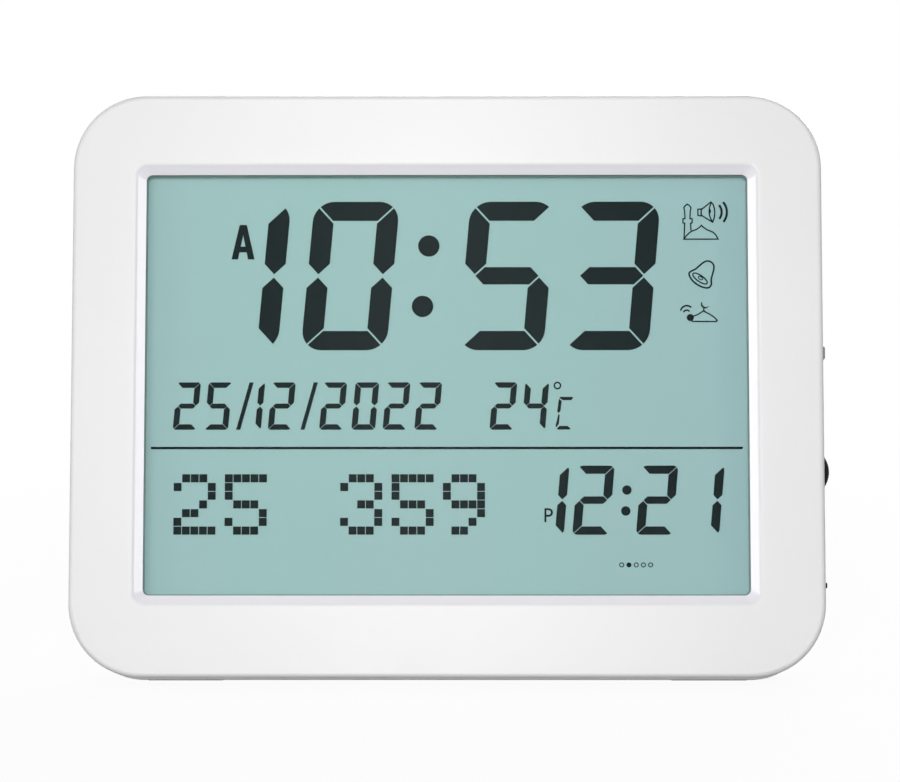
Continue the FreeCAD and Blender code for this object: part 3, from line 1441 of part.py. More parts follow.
def coil_spring(name, start, pitch):
    """A spring along X from tilted half rings, which meet each other without a kink."""
    rise = pitch / 4
    tilt = arctangent(rise / d.spring_radius).text
    start_text = "; ".join(as_size(size).text for size in start)
    halves = []
    for number in range(2 * whole(d.spring_turns)):
        half = doc.addObject("Part::Torus", f"{name}_half_{number}")
        half.Angle3 = 180
        bind(half, "Radius1", root(d.spring_radius * d.spring_radius + rise * rise))
        bind(half, "Radius2", d.spring_wire)
        middle = ((2 * number + 1) * rise).text
        half.setExpression("Placement", " * ".join((
            f"placement(vector({start_text}); rotation(vector(0; 1; 0); 90))",
            f"placement(vector(0; 0; {middle}); rotation(vector(0; 0; 1); {180 * number}))",
            f"placement(vector(0; 0; 0); rotation(vector(0; 1; 0); {tilt}))")))
        halves.append(half)
    return fuse(name, halves)


def battery_contacts():
    plates, springs = [], []
    half = d.contact_size / 2
    spring_room = d.bay_length - d.cell_length - 2 * d.contact_thickness
    coil_length = spring_room - 2 * d.spring_wire
    for number, (up, nub_left) in enumerate(cell_places()):
        for side, across in (("left", bay_left), ("right", bay_right - d.contact_thickness)):
            plates.append(box(f"contact_{side}_{number}",
                              (across, cell_depth - half, up - half),
                              (d.contact_thickness, d.contact_size, d.contact_size)))
        spring_start = bay_left + d.contact_thickness + d.spring_wire
        if nub_left:
            spring_start = bay_right - d.contact_thickness - d.spring_wire - coil_length
        springs.append(coil_spring(f"spring_{number}", (spring_start, cell_depth, up),
                                   coil_length / d.spring_turns))
    finish(group("contact_plates", plates), "contact_plates")
    finish(group("battery_springs", springs), "battery_springs")


# ---------------------------------------------------------------- prop and feet

def floor_block(name, width):
    """The space under the table plane, in the prop's own frame."""
    size = 2 * d.case_depth
    corner = (
        -width / 2,
        -(size / 2) * cosine(foot_angle) - size * sine(foot_angle),
        -leg_reach + (size / 2) * sine(foot_angle) - size * cosine(foot_angle),
    )
    return tilted_box(name, corner, (width, size, size), foot_angle, sign=-1)


def stand():
    """The prop is drawn hanging from its hinge line, with its outer face towards +Y."""
    outer = d.barrel_radius
    inner = outer - d.stand_thickness
    plate_end = leg_reach - d.foot_height + d.foot_grip
    half = d.stand_width / 2
    leaf = plate("stand_leaf", (0, inner, -plate_end / 2), d.stand_width, plate_end,
                 d.stand_corner, d.stand_thickness)
    top = box("stand_top", (-half, inner, -2 * d.stand_corner),
              (d.stand_width, d.stand_thickness, 2 * d.stand_corner))
    barrel = rod("stand_barrel", (-half, 0, 0), d.barrel_radius, d.stand_width, "x")
    heel = box("stand_heel", (-half, outer - d.lip_thickness, 0),
               (d.stand_width, d.lip_thickness, d.lip_height))
    bore = rod("stand_bore", (-half - OVER, 0, 0), d.pin_radius + d.pin_gap,
               d.stand_width + 2 * OVER, "x")
    panel_height = plate_end - d.panel_top - d.panel_end
    removed = [bore, plate("stand_panel",
                           (0, outer - d.panel_depth, -d.panel_top - panel_height / 2),
                           d.stand_width - 2 * d.panel_side, panel_height, d.panel_corner,
                           d.panel_depth + OVER)]
    for number in range(whole(d.stand_grips)):
        removed.append(box(f"stand_grip_{number}",
                           (-d.stand_grip_length / 2, outer - d.grip_depth,
                            -plate_end + d.stand_grip_rise + number * d.grip_pitch),
                           (d.stand_grip_length, d.grip_depth + OVER, d.grip_width)))
    finish(cut("stand", fuse("stand_parts", [leaf, top, barrel, heel]), removed), "stand",
           at=(0, hinge_depth, d.hinge_height), turn=d.open_angle)


def stand_foot():
    """A rubber sleeve over the prop's end, cut level with the table."""
    inner = d.barrel_radius - d.stand_thickness
    plate_end = leg_reach - d.foot_height + d.foot_grip
    width = d.stand_width - 2 * d.foot_inset
    block = box("foot_block", (-width / 2, inner - d.foot_wall, -leg_reach - d.foot_height),
                (width, d.stand_thickness + d.foot_wall + d.foot_back_wall,
                 2 * d.foot_height))
    socket = box("foot_socket", (-width / 2 - OVER, inner, -plate_end),
                 (width + 2 * OVER, d.stand_thickness, 2 * d.foot_height))
    finish(cut("stand_foot", block, [socket, floor_block("floor", width + 2 * OVER)]),
           "stand_foot", at=(0, hinge_depth, d.hinge_height), turn=d.open_angle)


def stand_pin():
    half = recess_width / 2 + d.recess_wall
    pin = rod("pin", (-half, hinge_depth, d.hinge_height), d.pin_radius, 2 * half, "x")
    finish(group("stand_pin", [pin]), "stand_pin")


def pad_left(side):
    """The left end of the case foot on one side."""
    return side * (d.case_width / 2 - d.pad_inset) - d.pad_length / 2


def case_feet():
    pads = [facet_block(name, pad_left(side), d.pad_length, d.pad_start, d.pad_width,
                        d.pad_seat, d.pad_proud)
            for side, name in ((-1, "left_pad"), (1, "right_pad"))]
    finish(group("case_feet", pads), "case_feet")


# ---------------------------------------------------------------- screws

def screw(name, place, direction, radius, length, head):
    """A screw along Y from the seat of its head; direction is where its thread points."""
    across, seat, up = place
    head_radius, head_height = head
    tip, top = seat + direction * length, seat - direction * head_height
    near, far = (tip, seat + SINK) if direction < 0 else (seat - SINK, tip)
    thread = rod(f"{name}_thread", (across, near, up), radius, far - near)
    low, high = (seat, top) if direction < 0 else (top, seat)
    cap = rod(f"{name}_head", (across, low, up), head_radius, high - low)
    return fuse(name, [thread, cap])


def screw_set(label, places, radius, head):
    """A group of like screws; each entry is a place, the thread's direction and length."""
    finish(group(label, [
        screw(f"{label}_{number}", place, direction, radius, length, head)
        for number, (place, direction, length) in enumerate(places)]), label)


def screws():
    small_head = (d.small_head_radius, d.small_head_height)
    case_length = back_inside - d.front_depth + d.case_screw_bite
    case = [((across, back_inside, up), -1, case_length)
            for across, up in case_screw_places()]
    holder = [((across, holder_end, up), -1, d.holder_screw_length)
              for across, up in ear_places()]
    board = [((across, main_board_back, up), -1, d.board_screw_length)
             for across, up in board_post_places()]
    side = [((side_post_x, d.side_board_depth, up), 1, d.side_screw_length)
            for up in side_post_heights()]
    screw_set("case_screws", case, d.case_screw_radius,
              (d.case_head_radius, d.case_head_height))
    screw_set("holder_screws", holder, d.small_screw_radius, small_head)
    screw_set("board_screws", board + side, d.small_screw_radius, small_head)


# ---------------------------------------------------------------- build

def check_and_export():
    doc.recompute()
    faults = [item.Name for item in doc.Objects
              if "Invalid" in item.State or "Error" in item.State]
    for made in pieces:
        shape = made.Shape
        if shape.isNull() or not shape.isValid():
            faults.append(made.Label)
    if faults:
        raise RuntimeError("these objects failed: " + ", ".join(faults))
    os.makedirs("parts", exist_ok=True)
    for made in pieces:
        made.Shape.exportStep(f"parts/{made.Label}.step")
        print(made.Label, len(made.Shape.Solids), round(made.Shape.Volume, 1))


make_clock_frame()
front_frame()
rear_cover()
battery_door()
window_stack()
lcd_holder()
zebra_strip()
lcd_segments()
main_board()
key_switches()
for key_number, key_x in enumerate(key_places()):
    setting_key(key_number, key_x)
side_board()
volume_pot()
volume_wheel()
stop_control()
slide_control()
speaker()
cells()
battery_contacts()
stand()
stand_foot()
stand_pin()
case_feet()
screws()
check_and_export()
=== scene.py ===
import json
import math

import bmesh
import bpy
from mathutils import Matrix, Vector
from mathutils.geometry import tessellate_polygon


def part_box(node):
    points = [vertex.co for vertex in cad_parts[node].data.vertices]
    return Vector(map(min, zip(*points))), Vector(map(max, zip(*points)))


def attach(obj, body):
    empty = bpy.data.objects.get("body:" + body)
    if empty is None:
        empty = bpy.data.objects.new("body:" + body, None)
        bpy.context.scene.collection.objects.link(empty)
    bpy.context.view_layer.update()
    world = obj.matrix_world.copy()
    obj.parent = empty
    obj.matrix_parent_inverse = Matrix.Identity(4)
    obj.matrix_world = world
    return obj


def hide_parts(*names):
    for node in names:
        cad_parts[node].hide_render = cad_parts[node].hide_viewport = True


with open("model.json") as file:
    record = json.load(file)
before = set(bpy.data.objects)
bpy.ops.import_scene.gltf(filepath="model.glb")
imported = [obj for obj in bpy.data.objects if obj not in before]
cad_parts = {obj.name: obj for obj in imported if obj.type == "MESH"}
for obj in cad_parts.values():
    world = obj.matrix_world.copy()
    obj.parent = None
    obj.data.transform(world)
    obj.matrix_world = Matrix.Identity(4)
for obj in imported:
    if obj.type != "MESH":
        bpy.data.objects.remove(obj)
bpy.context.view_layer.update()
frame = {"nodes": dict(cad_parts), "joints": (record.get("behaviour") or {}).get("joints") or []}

# The clock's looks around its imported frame.  Pieces are drawn in the clock's own upright
# millimetres: x to the right from the middle of the case, depth behind the front face and
# height above the case's bottom edge.  CASE carries them to the leaning clock in metres.

MM = 0.001
NODES = frame["nodes"]
JOINTS = {joint["name"]: joint for joint in frame["joints"]}
CASE_BACK = Vector(JOINTS["volume_turn"]["axis"])
CASE_UP = Vector(JOINTS["slide_knob_slide"]["axis"])


# ---------------------------------------------------------------- the clock's own frame

def case_matrix():
    """Takes the lean from the joints' axes and the corner from the front frame."""
    across = Vector((1, 0, 0))
    corners = [vertex.co for vertex in NODES["front_frame"].data.vertices]
    low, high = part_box("front_frame")
    origin = (across * (low[0] + high[0]) / 2
              + CASE_BACK * min(corner.dot(CASE_BACK) for corner in corners)
              + CASE_UP * min(corner.dot(CASE_UP) for corner in corners))
    columns = Matrix((across, CASE_BACK, CASE_UP)).transposed() * MM
    return Matrix.Translation(origin) @ columns.to_4x4()


CASE = case_matrix()
CASE_INVERSE = CASE.inverted()


def local_corners(node_name):
    """The corners of a CAD node's mesh in the clock's own millimetres."""
    return [CASE_INVERSE @ vertex.co for vertex in NODES[node_name].data.vertices]


def box_round(places):
    """Lowest and highest corner of the box round some places."""
    return [Vector(pick(place[axis] for place in places) for axis in range(3))
            for pick in (min, max)]


def plain_mesh(made, name):
    """Turns a bmesh into a mesh with its faces outwards."""
    bmesh.ops.recalc_face_normals(made, faces=made.faces)
    mesh = bpy.data.meshes.new(name)
    made.to_mesh(mesh)
    made.free()
    return mesh


def make_object(name, mesh, body, material):
    """Shows a mesh drawn in the clock's millimetres as a piece of one body."""
    mesh.transform(CASE)
    made = bpy.data.objects.new(name, mesh)
    bpy.context.collection.objects.link(made)
    made.data.materials.append(material)
    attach(made, body)
    return made


# ---------------------------------------------------------------- camera

# Millimetres and degrees in the clock's own frame; the focal length is in the photo's pixels.
CAMERA_DISTANCE = 1150
CAMERA_YAW = 0.429
CAMERA_PITCH = -6.678
CAMERA_ROLL = 0.0299
CAMERA_TARGET = (0.954, 0, 91.165)
CAMERA_FOCUS_PIXELS = 3610.07
IMAGE_WIDTH = 900
SENSOR_WIDTH = 36


def make_camera():
    """A long lens a little below the face's normal and to its right."""
    yaw, pitch = math.radians(CAMERA_YAW), math.radians(CAMERA_PITCH)
    away = Vector((math.sin(yaw) * math.cos(pitch), -math.cos(yaw) * math.cos(pitch),
                   math.sin(pitch)))
    right = Vector((math.cos(yaw), math.sin(yaw), 0))
    turned = Matrix((right, away.cross(right), away)).transposed()
    roll = Matrix.Rotation(math.radians(CAMERA_ROLL), 3, "Z")
    case_turn = CASE.to_3x3() * (1 / MM)
    data = bpy.data.cameras.new("camera")
    data.sensor_width = SENSOR_WIDTH
    data.lens = CAMERA_FOCUS_PIXELS * SENSOR_WIDTH / IMAGE_WIDTH
    camera = bpy.data.objects.new("camera", data)
    bpy.context.collection.objects.link(camera)
    place = CASE @ (Vector(CAMERA_TARGET) + away * CAMERA_DISTANCE)
    camera.matrix_world = Matrix.Translation(place) @ (case_turn @ turned @ roll).to_4x4()
    bpy.context.scene.camera = camera


# ---------------------------------------------------------------- shader nodes

# Most values of a noise lie between these two.
NOISE_LOW = 0.3
NOISE_HIGH = 0.7

WHITE = (1, 1, 1, 1)


def node(tree, kind, inputs=None, **settings):
    """Adds a shader node; an input is a value or another node's output."""
    made = tree.nodes.new(kind)
    for name, value in settings.items():
        setattr(made, name, value)
    for name, value in (inputs or {}).items():
        if isinstance(value, bpy.types.NodeSocket):
            tree.links.new(value, made.inputs[name])
        else:
            made.inputs[name].default_value = value
    return made


def math_of(tree, operation, *values):
    """The outcome of a math node on numbers or other nodes' outputs."""
    inputs = dict(enumerate(values))
    return node(tree, "ShaderNodeMath", inputs, operation=operation).outputs[0]


def map_range(tree, value, start, end, low=0, high=1, interpolation="LINEAR"):
    """Maps the values from start to end onto those from low to high."""
    return node(tree, "ShaderNodeMapRange", {
        "Value": value, "From Min": start, "From Max": end, "To Min": low, "To Max": high,
    }, interpolation_type=interpolation).outputs["Result"]


def mixed(tree, factor, first, second, data_type="RGBA", blend="MIX"):
    """Mixes two colours, or two numbers, by a factor."""
    return node(tree, "ShaderNodeMix", {"Factor": factor, "A": first, "B": second},
                data_type=data_type, blend_type=blend).outputs["Result"]


def mixed_shaders(tree, factor, first, second):
    """Mixes what two shader nodes show."""
    return node(tree, "ShaderNodeMixShader",
                {0: factor, 1: first.outputs[0], 2: second.outputs[0]})


def object_place(tree):
    return node(tree, "ShaderNodeTexCoord").outputs["Object"]


def axes_of(tree, place):
    return node(tree, "ShaderNodeSeparateXYZ", {"Vector": place}).outputs


def seen_rays(tree):
    """1 for what the camera, mirrors and panes see, and 0 for the light that falls."""
    path = node(tree, "ShaderNodeLightPath").outputs
    mirrored = math_of(tree, "MAXIMUM", path["Is Camera Ray"], path["Is Glossy Ray"])
    return math_of(tree, "MAXIMUM", mirrored, path["Is Transmission Ray"])


def noise(tree, scale, detail=2.0, stretch=(1, 1, 1)):
    """Noise over the object's own metres; scale is in features to a metre."""
    place = object_place(tree)
    if stretch != (1, 1, 1):
        place = node(tree, "ShaderNodeMapping", {"Vector": place, "Scale": stretch})
        place = place.outputs["Vector"]
    return node(tree, "ShaderNodeTexNoise",
                {"Vector": place, "Scale": scale, "Detail": detail}).outputs["Fac"]


def ramp(tree, factor, low, high):
    """Maps the middle of a noise onto the range from low to high."""
    return map_range(tree, factor, NOISE_LOW, NOISE_HIGH, low, high)


def tinted(tree, factor, low, high):
    """Mixes two colours by a noise."""
    return mixed(tree, ramp(tree, factor, 0, 1), low, high)


def bump(tree, height, distance, strength=1.0):
    return node(tree, "ShaderNodeBump", {
        "Height": height, "Distance": distance, "Strength": strength}).outputs["Normal"]


def srgb(red, green, blue):
    """A colour given as 0 to 255 in sRGB, as the linear values that shaders take."""
    def linear(value):
        value /= 255
        return value / 12.92 if value <= 0.04045 else ((value + 0.055) / 1.055) ** 2.4
    return (linear(red), linear(green), linear(blue), 1)


# ---------------------------------------------------------------- materials

# The outside of the sloping border round the window: its middle and its half sizes.
BORDER_X = -0.12
BORDER_Z = 93.8
BORDER_HALF_WIDTH = 99.8
BORDER_HALF_HEIGHT = 70.9

# The depths behind the face where the border's polish and its painted highlight colour start
# and are full, the roughness of both finishes, and the share of the grain that the polish
# leaves.
POLISH_START = 0.15
POLISH_FULL = 0.5
SATIN_ROUGHNESS = (0.28, 0.38)
POLISHED_ROUGHNESS = (0.12, 0.16)
POLISHED_GRAIN = 0.1

# The scales of grains, mottles and patterns, the depths of their relief in metres, and how
# far roughness strays.
PLASTIC_GRAIN = 2600
PLASTIC_MOTTLE = 22
PLASTIC_DEPTH = 0.00003
PLASTIC_SPREAD = 0.05
METAL_GRAIN = 1500
METAL_MOTTLE = 160
METAL_DEPTH = 0.00001
METAL_SPREAD = 0.08
PANE_HAZE = 900
PANE_SPREAD = 0.02
FILM_BANDS = 14
FILM_BAND_STRETCH = (1, 0.08, 0.08)
FILM_SPECKLE = 5200
FILM_DEPTH = 0.00001
BOARD_TRACKS = 260
BOARD_DEPTH = 0.00003
SILICONE_LAYERS = 900
SILICONE_DEPTH = 0.00002


def new_material(name):
    made = bpy.data.materials.new(name)
    made.use_nodes = True
    made.node_tree.nodes.clear()
    return made, made.node_tree


def show(tree, shader):
    node(tree, "ShaderNodeOutputMaterial", {"Surface": shader.outputs[0]})


def show_principled(tree, inputs):
    show(tree, node(tree, "ShaderNodeBsdfPrincipled", inputs))


def moulded(name, low, high, roughness, grain=PLASTIC_GRAIN, depth=PLASTIC_DEPTH, **extra):
    """Moulded plastic or rubber: fine grain, slow mottling and uneven gloss."""
    made, tree = new_material(name)
    fine = noise(tree, grain, 3.0)
    show_principled(tree, {
        "Base Color": tinted(tree, noise(tree, PLASTIC_MOTTLE), low, high),
        "Roughness": ramp(tree, fine, roughness - PLASTIC_SPREAD, roughness + PLASTIC_SPREAD),
        "Normal": bump(tree, fine, depth), **extra})
    return made


def case_plastic():
    """Satin white plastic, polished on the window's border and painted whiter there as a
    highlight.
    """
    made, tree = new_material("case_white")
    fine = noise(tree, PLASTIC_GRAIN, 3.0)
    upright = node(tree, "ShaderNodeMapping", {
        "Vector": object_place(tree), "Location": CASE_INVERSE.translation,
        "Rotation": CASE_INVERSE.to_euler(), "Scale": (1 / MM,) * 3}).outputs["Vector"]
    axes = axes_of(tree, upright)
    deep = map_range(tree, axes["Y"], POLISH_START, POLISH_FULL)
    across = math_of(tree, "COMPARE", axes["X"], BORDER_X, BORDER_HALF_WIDTH)
    along = math_of(tree, "COMPARE", axes["Z"], BORDER_Z, BORDER_HALF_HEIGHT)
    border = math_of(tree, "MULTIPLY", math_of(tree, "MULTIPLY", across, along), deep)
    satin = tinted(tree, noise(tree, PLASTIC_MOTTLE), srgb(243, 243, 244), srgb(245, 245, 245))
    rough = mixed(tree, border, ramp(tree, fine, *SATIN_ROUGHNESS),
                  ramp(tree, fine, *POLISHED_ROUGHNESS), "FLOAT")
    grain = map_range(tree, border, 0, 1, 1, POLISHED_GRAIN)
    # The border's whiter, lavender base colour is a painted highlight for the light on the
    # bevel; its lower roughness is real polish.
    show_principled(tree, {
        "Base Color": mixed(tree, border, satin, srgb(249, 247, 253)), "Roughness": rough,
        "Normal": bump(tree, fine, PLASTIC_DEPTH, grain)})
    return made


def metal(name, low, high, roughness, stretch=(1, 1, 1)):
    """Metal with a drawn or rolled grain."""
    made, tree = new_material(name)
    fine = noise(tree, METAL_GRAIN, 3.0, stretch)
    show_principled(tree, {
        "Base Color": tinted(tree, noise(tree, METAL_MOTTLE, 3.0), low, high), "Metallic": 1.0,
        "Roughness": ramp(tree, fine, roughness - METAL_SPREAD, roughness + METAL_SPREAD),
        "Normal": bump(tree, fine, METAL_DEPTH)})
    return made


def clear_pane(name, tint, sheen_ior, smear):
    """A clear pane: straight through, with a sheen that grows towards grazing views."""
    made, tree = new_material(name)
    through = node(tree, "ShaderNodeBsdfTransparent", {"Color": tint})
    haze = ramp(tree, noise(tree, PANE_HAZE), smear - PANE_SPREAD, smear)
    mirror = node(tree, "ShaderNodeBsdfGlossy", {"Roughness": haze})
    fresnel = node(tree, "ShaderNodeFresnel", {"IOR": sheen_ior}).outputs["Fac"]
    show(tree, mixed_shaders(tree, fresnel, through, mirror))
    return made


def lcd_reflector():
    """The teal reflective film behind the LCD: faint upright bands and a fine speckle."""
    made, tree = new_material("lcd_reflector")
    bands = noise(tree, FILM_BANDS, 1.0, FILM_BAND_STRETCH)
    speckle = noise(tree, FILM_SPECKLE, 1.0)
    teal = tinted(tree, bands, srgb(182, 221, 217), srgb(185, 218, 222))
    fleck = tinted(tree, speckle, srgb(251, 251, 251), srgb(255, 255, 255))
    show_principled(tree, {
        "Base Color": mixed(tree, 1, teal, fleck, blend="MULTIPLY"), "Roughness": 0.7,
        "Specular IOR Level": 0.1, "Normal": bump(tree, speckle, FILM_DEPTH)})
    return made


def circuit_board():
    """Green solder mask over faint tracks."""
    made, tree = new_material("circuit_board")
    tracks = node(tree, "ShaderNodeTexBrick", {
        "Vector": object_place(tree), "Scale": BOARD_TRACKS, "Color1": srgb(22, 92, 50),
        "Color2": srgb(18, 84, 46), "Mortar": srgb(34, 112, 62), "Mortar Size": 0.06}).outputs
    show_principled(tree, {
        "Base Color": tracks["Color"], "Roughness": 0.35, "Coat Weight": 0.4,
        "Normal": bump(tree, tracks["Fac"], BOARD_DEPTH)})
    return made


def layered_silicone():
    """The elastomer connector: fine dark layers in red silicone."""
    made, tree = new_material("layered_silicone")
    layers = node(tree, "ShaderNodeTexWave",
                  {"Vector": object_place(tree), "Scale": SILICONE_LAYERS},
                  bands_direction="X").outputs["Fac"]
    show_principled(tree, {
        "Base Color": tinted(tree, layers, srgb(40, 20, 20), srgb(168, 70, 66)),
        "Roughness": 0.55, "Normal": bump(tree, layers, SILICONE_DEPTH)})
    return made


def make_materials():
    """One material for each finish, by name."""
    return {
        "case_white": case_plastic(),
        "back_white": moulded("back_white", srgb(236, 236, 236), srgb(240, 240, 240), 0.55,
                              1400, 0.00008),
        "inner_white": moulded("inner_white", srgb(228, 228, 226), srgb(234, 234, 232), 0.5),
        "key_grey": moulded("key_grey", srgb(206, 207, 209), srgb(213, 214, 216), 0.45),
        "edge_grey": moulded("edge_grey", srgb(168, 169, 171), srgb(178, 179, 181), 0.45),
        "control_black": moulded("control_black", srgb(10, 10, 11), srgb(18, 18, 19), 0.6,
                                 **{"Specular IOR Level": 0.2}),
        "switch_black": moulded("switch_black", srgb(26, 26, 27), srgb(36, 36, 37), 0.4),
        "gasket": moulded("gasket", srgb(124, 153, 148), srgb(132, 161, 156), 0.8),
        "lcd_ink": moulded("lcd_ink", srgb(26, 38, 40), srgb(30, 42, 44), 0.7, 3000,
                           0.000004, **{"Specular IOR Level": 0.08}),
        "chip_resin": moulded("chip_resin", srgb(14, 14, 15), srgb(26, 26, 27), 0.2, 900,
                              0.0001),
        "sleeve": moulded("sleeve", srgb(24, 28, 58), srgb(34, 40, 78), 0.3),
        "magnet": moulded("magnet", srgb(44, 44, 47), srgb(60, 60, 63), 0.6, 1800, 0.0001),
        "cone_paper": moulded("cone_paper", srgb(34, 33, 32), srgb(52, 50, 48), 0.9, 1200,
                              0.0002),
        "foam": moulded("foam", srgb(30, 30, 30), srgb(48, 48, 48), 0.95, 1600, 0.0003),
        "rubber": moulded("rubber", srgb(176, 176, 177), srgb(190, 190, 191), 0.75, 2000,
                          0.00006),
        "cell_jacket": moulded("cell_jacket", srgb(48, 78, 92), srgb(58, 90, 106), 0.28),
        "cell_band": moulded("cell_band", srgb(206, 208, 210), srgb(220, 222, 224), 0.28),
        "nickel": metal("nickel", srgb(196, 194, 188), srgb(222, 220, 214), 0.25),
        "switch_steel": metal("switch_steel", srgb(170, 170, 172), srgb(196, 196, 198), 0.35),
        "basket_steel": metal("basket_steel", srgb(172, 172, 168), srgb(200, 200, 196), 0.35),
        "pin_steel": metal("pin_steel", srgb(176, 177, 180), srgb(200, 201, 204), 0.22,
                           (0.1, 1, 1)),
        "screw_steel": metal("screw_steel", srgb(150, 150, 152), srgb(184, 184, 186), 0.3),
        "lens": clear_pane("lens", (0.99, 0.995, 0.995, 1), 1.05, 0.26),
        "glass": clear_pane("glass", (0.985, 0.995, 0.99, 1), 1.03, 0.2),
        "lcd_reflector": lcd_reflector(),
        "circuit_board": circuit_board(),
        "layered_silicone": layered_silicone(),
    }


NODE_FINISHES = {
    "front_frame": "case_white", "rear_cover": "back_white", "battery_door": "back_white",
    "stand": "back_white", "window_lens": "lens", "lcd_front_glass": "glass",
    "lcd_rear_glass": "lcd_reflector", "lcd_segments": "lcd_ink", "lcd_gasket": "gasket",
    "lcd_holder": "inner_white", "zebra_strip": "layered_silicone",
    "main_board": "circuit_board", "side_board": "circuit_board",
    "controller": "chip_resin", "crystal": "nickel", "capacitors": "sleeve",
    "thermistor": "chip_resin", "key_switches": "switch_black",
    "stop_switch": "switch_black", "slide_switch": "switch_steel",
    "volume_pot": "switch_black", "volume_wheel": "control_black",
    "stop_key": "edge_grey", "slide_knob": "control_black",
    "speaker_basket": "basket_steel", "speaker_magnet": "magnet",
    "speaker_cone": "cone_paper", "speaker_gasket": "foam", "contact_plates": "nickel",
    "battery_springs": "nickel", "stand_pin": "pin_steel", "stand_foot": "rubber",
    "case_feet": "rubber", "case_screws": "screw_steel", "holder_screws": "screw_steel",
    "board_screws": "screw_steel",
}


def finish_nodes():
    """Gives each CAD node its finish; cells and setting keys are known by their names."""
    for name, shown in NODES.items():
        finish = NODE_FINISHES.get(name)
        if finish is None:
            finish = "cell_jacket" if name.startswith("aa_cell") else "key_grey"
        shown.data.materials.clear()
        shown.data.materials.append(MATERIALS[finish])


# ---------------------------------------------------------------- drawn marks

# The depths that the ink lies between, and how far the marks sit below where they are drawn.
INK_FRONT = 5.83
INK_BACK = 5.92
MARKS_DROP = 0.3

# Widths of the lines: the usual one first.
FINE_LINE = 0.42
CALL_WAVE_LINE = 0.72
BELL_LINE = 0.52
CLAPPER_LINE = 0.3
INNER_WAVE_LINE = 0.5
OUTER_WAVE_LINE = 0.55

# Steps round a circle and the clapper, and from one point of a curve to the next.
LOOP_STEPS = 28
CLAPPER_STEPS = 20
CURVE_STEPS = 6

# A line's corner stands out by half its width over a cosine, which isn't taken below this.
MITRE_LIMIT = 0.4

# The five event markers, and the edges of the line under the date.
MARKER_COUNT = 5
MARKER_SET = 1
FIRST_MARKER = (55.6, 36.4)
MARKER_PITCH = 2.3
MARKER_RADIUS = 0.8
MARKER_HOLE = 0.5
RULE_LEFT = -94.6
RULE_RIGHT = 94.3
RULE_LOW = 73.42
RULE_HIGH = 74.22


def flat_solid(name, figures, front, back):
    """A mesh of flat shapes.  Each figure is a list of loops of (x, z): edge, then holes."""
    made = bmesh.new()
    for loops in figures:
        outline = [[Vector((x, z, 0)) for x, z in loop] for loop in loops]
        places = [place for loop in outline for place in loop]
        near = [made.verts.new((place.x, front, place.y)) for place in places]
        far = [made.verts.new((place.x, back, place.y)) for place in places]
        for corners in tessellate_polygon(outline):
            made.faces.new([near[corner] for corner in corners])
            made.faces.new([far[corner] for corner in reversed(corners)])
        first = 0
        for loop in outline:
            count = len(loop)
            for step in range(count):
                here, there = first + step, first + (step + 1) % count
                made.faces.new((near[here], near[there], far[there], far[here]))
            first += count
    return plain_mesh(made, name)


def arc(centre, radius, start, end, steps=16):
    """Points of an arc in degrees."""
    points = []
    for step in range(steps + 1):
        angle = math.radians(start + (end - start) * step / steps)
        points.append((centre[0] + radius * math.cos(angle),
                       centre[1] + radius * math.sin(angle)))
    return points


def round_loop(centre, radius, steps=LOOP_STEPS, squeeze=1.0, turn=0.0):
    """A closed circle, or an ellipse turned by some degrees."""
    cosine, sine = math.cos(math.radians(turn)), math.sin(math.radians(turn))
    loop = []
    for step in range(steps):
        angle = math.tau * step / steps
        x, z = radius * math.cos(angle), squeeze * radius * math.sin(angle)
        loop.append((centre[0] + x * cosine - z * sine, centre[1] + x * sine + z * cosine))
    return loop


def smooth_path(points, closed=False):
    """A Catmull-Rom path through the points."""
    count = len(points)

    def at(index):
        if closed:
            return Vector(points[index % count])
        return Vector(points[max(0, min(count - 1, index))])

    path = []
    for index in range(count if closed else count - 1):
        before, start, end, after = (at(index + shift) for shift in (-1, 0, 1, 2))
        for step in range(CURVE_STEPS):
            t = step / CURVE_STEPS
            place = (2 * start + (end - before) * t
                     + (2 * before - 5 * start + 4 * end - after) * t ** 2
                     + (3 * start - before - 3 * end + after) * t ** 3) / 2
            path.append((place.x, place.y))
    if not closed:
        path.append(tuple(points[-1]))
    return path


def side_line(points, reach, closed):
    """The points moved sideways by reach, mitred at the corners."""
    count, moved = len(points), []
    for index, point in enumerate(points):
        before = points[(index - 1) % count] if closed or index > 0 else None
        after = points[(index + 1) % count] if closed or index < count - 1 else None
        into = (Vector(point) - Vector(before)).normalized() if before else None
        out = (Vector(after) - Vector(point)).normalized() if after else None
        into, out = into or out, out or into
        normal = Vector((-into.y - out.y, into.x + out.x)).normalized()
        along = max(MITRE_LIMIT, normal.dot(Vector((-into.y, into.x))))
        place = Vector(point) + normal * reach / along
        moved.append((place.x, place.y))
    return moved


def stroke(points, width=FINE_LINE, closed=False):
    """The figure of a line of even width: a band, or a ring where it is closed."""
    left = side_line(points, width / 2, closed)
    right = side_line(points, -width / 2, closed)
    return [left, right] if closed else [left + right[::-1]]


def capital_a():
    """A bold narrow A with a flat top, in front of the large digits."""
    outside = [(-69.4, 134.8), (-67.3, 134.8), (-66.85, 137.1), (-64.55, 137.1),
               (-64.1, 134.8), (-62.0, 134.8), (-64.55, 146.0), (-66.85, 146.0)]
    return [[outside, [(-66.45, 138.95), (-64.95, 138.95), (-65.7, 142.7)]]]


def capital_p():
    """A small P in front of the lower time."""
    outside = ([(31.05, 50.05), (31.65, 50.05), (31.65, 51.8)]
               + arc((32.4, 53.15), 1.35, -90, 90, 12) + [(31.05, 54.5)])
    inside = [(31.65, 52.4)] + arc((32.35, 53.15), 0.75, -90, 90, 12) + [(31.65, 53.9)]
    return [[outside, inside]]


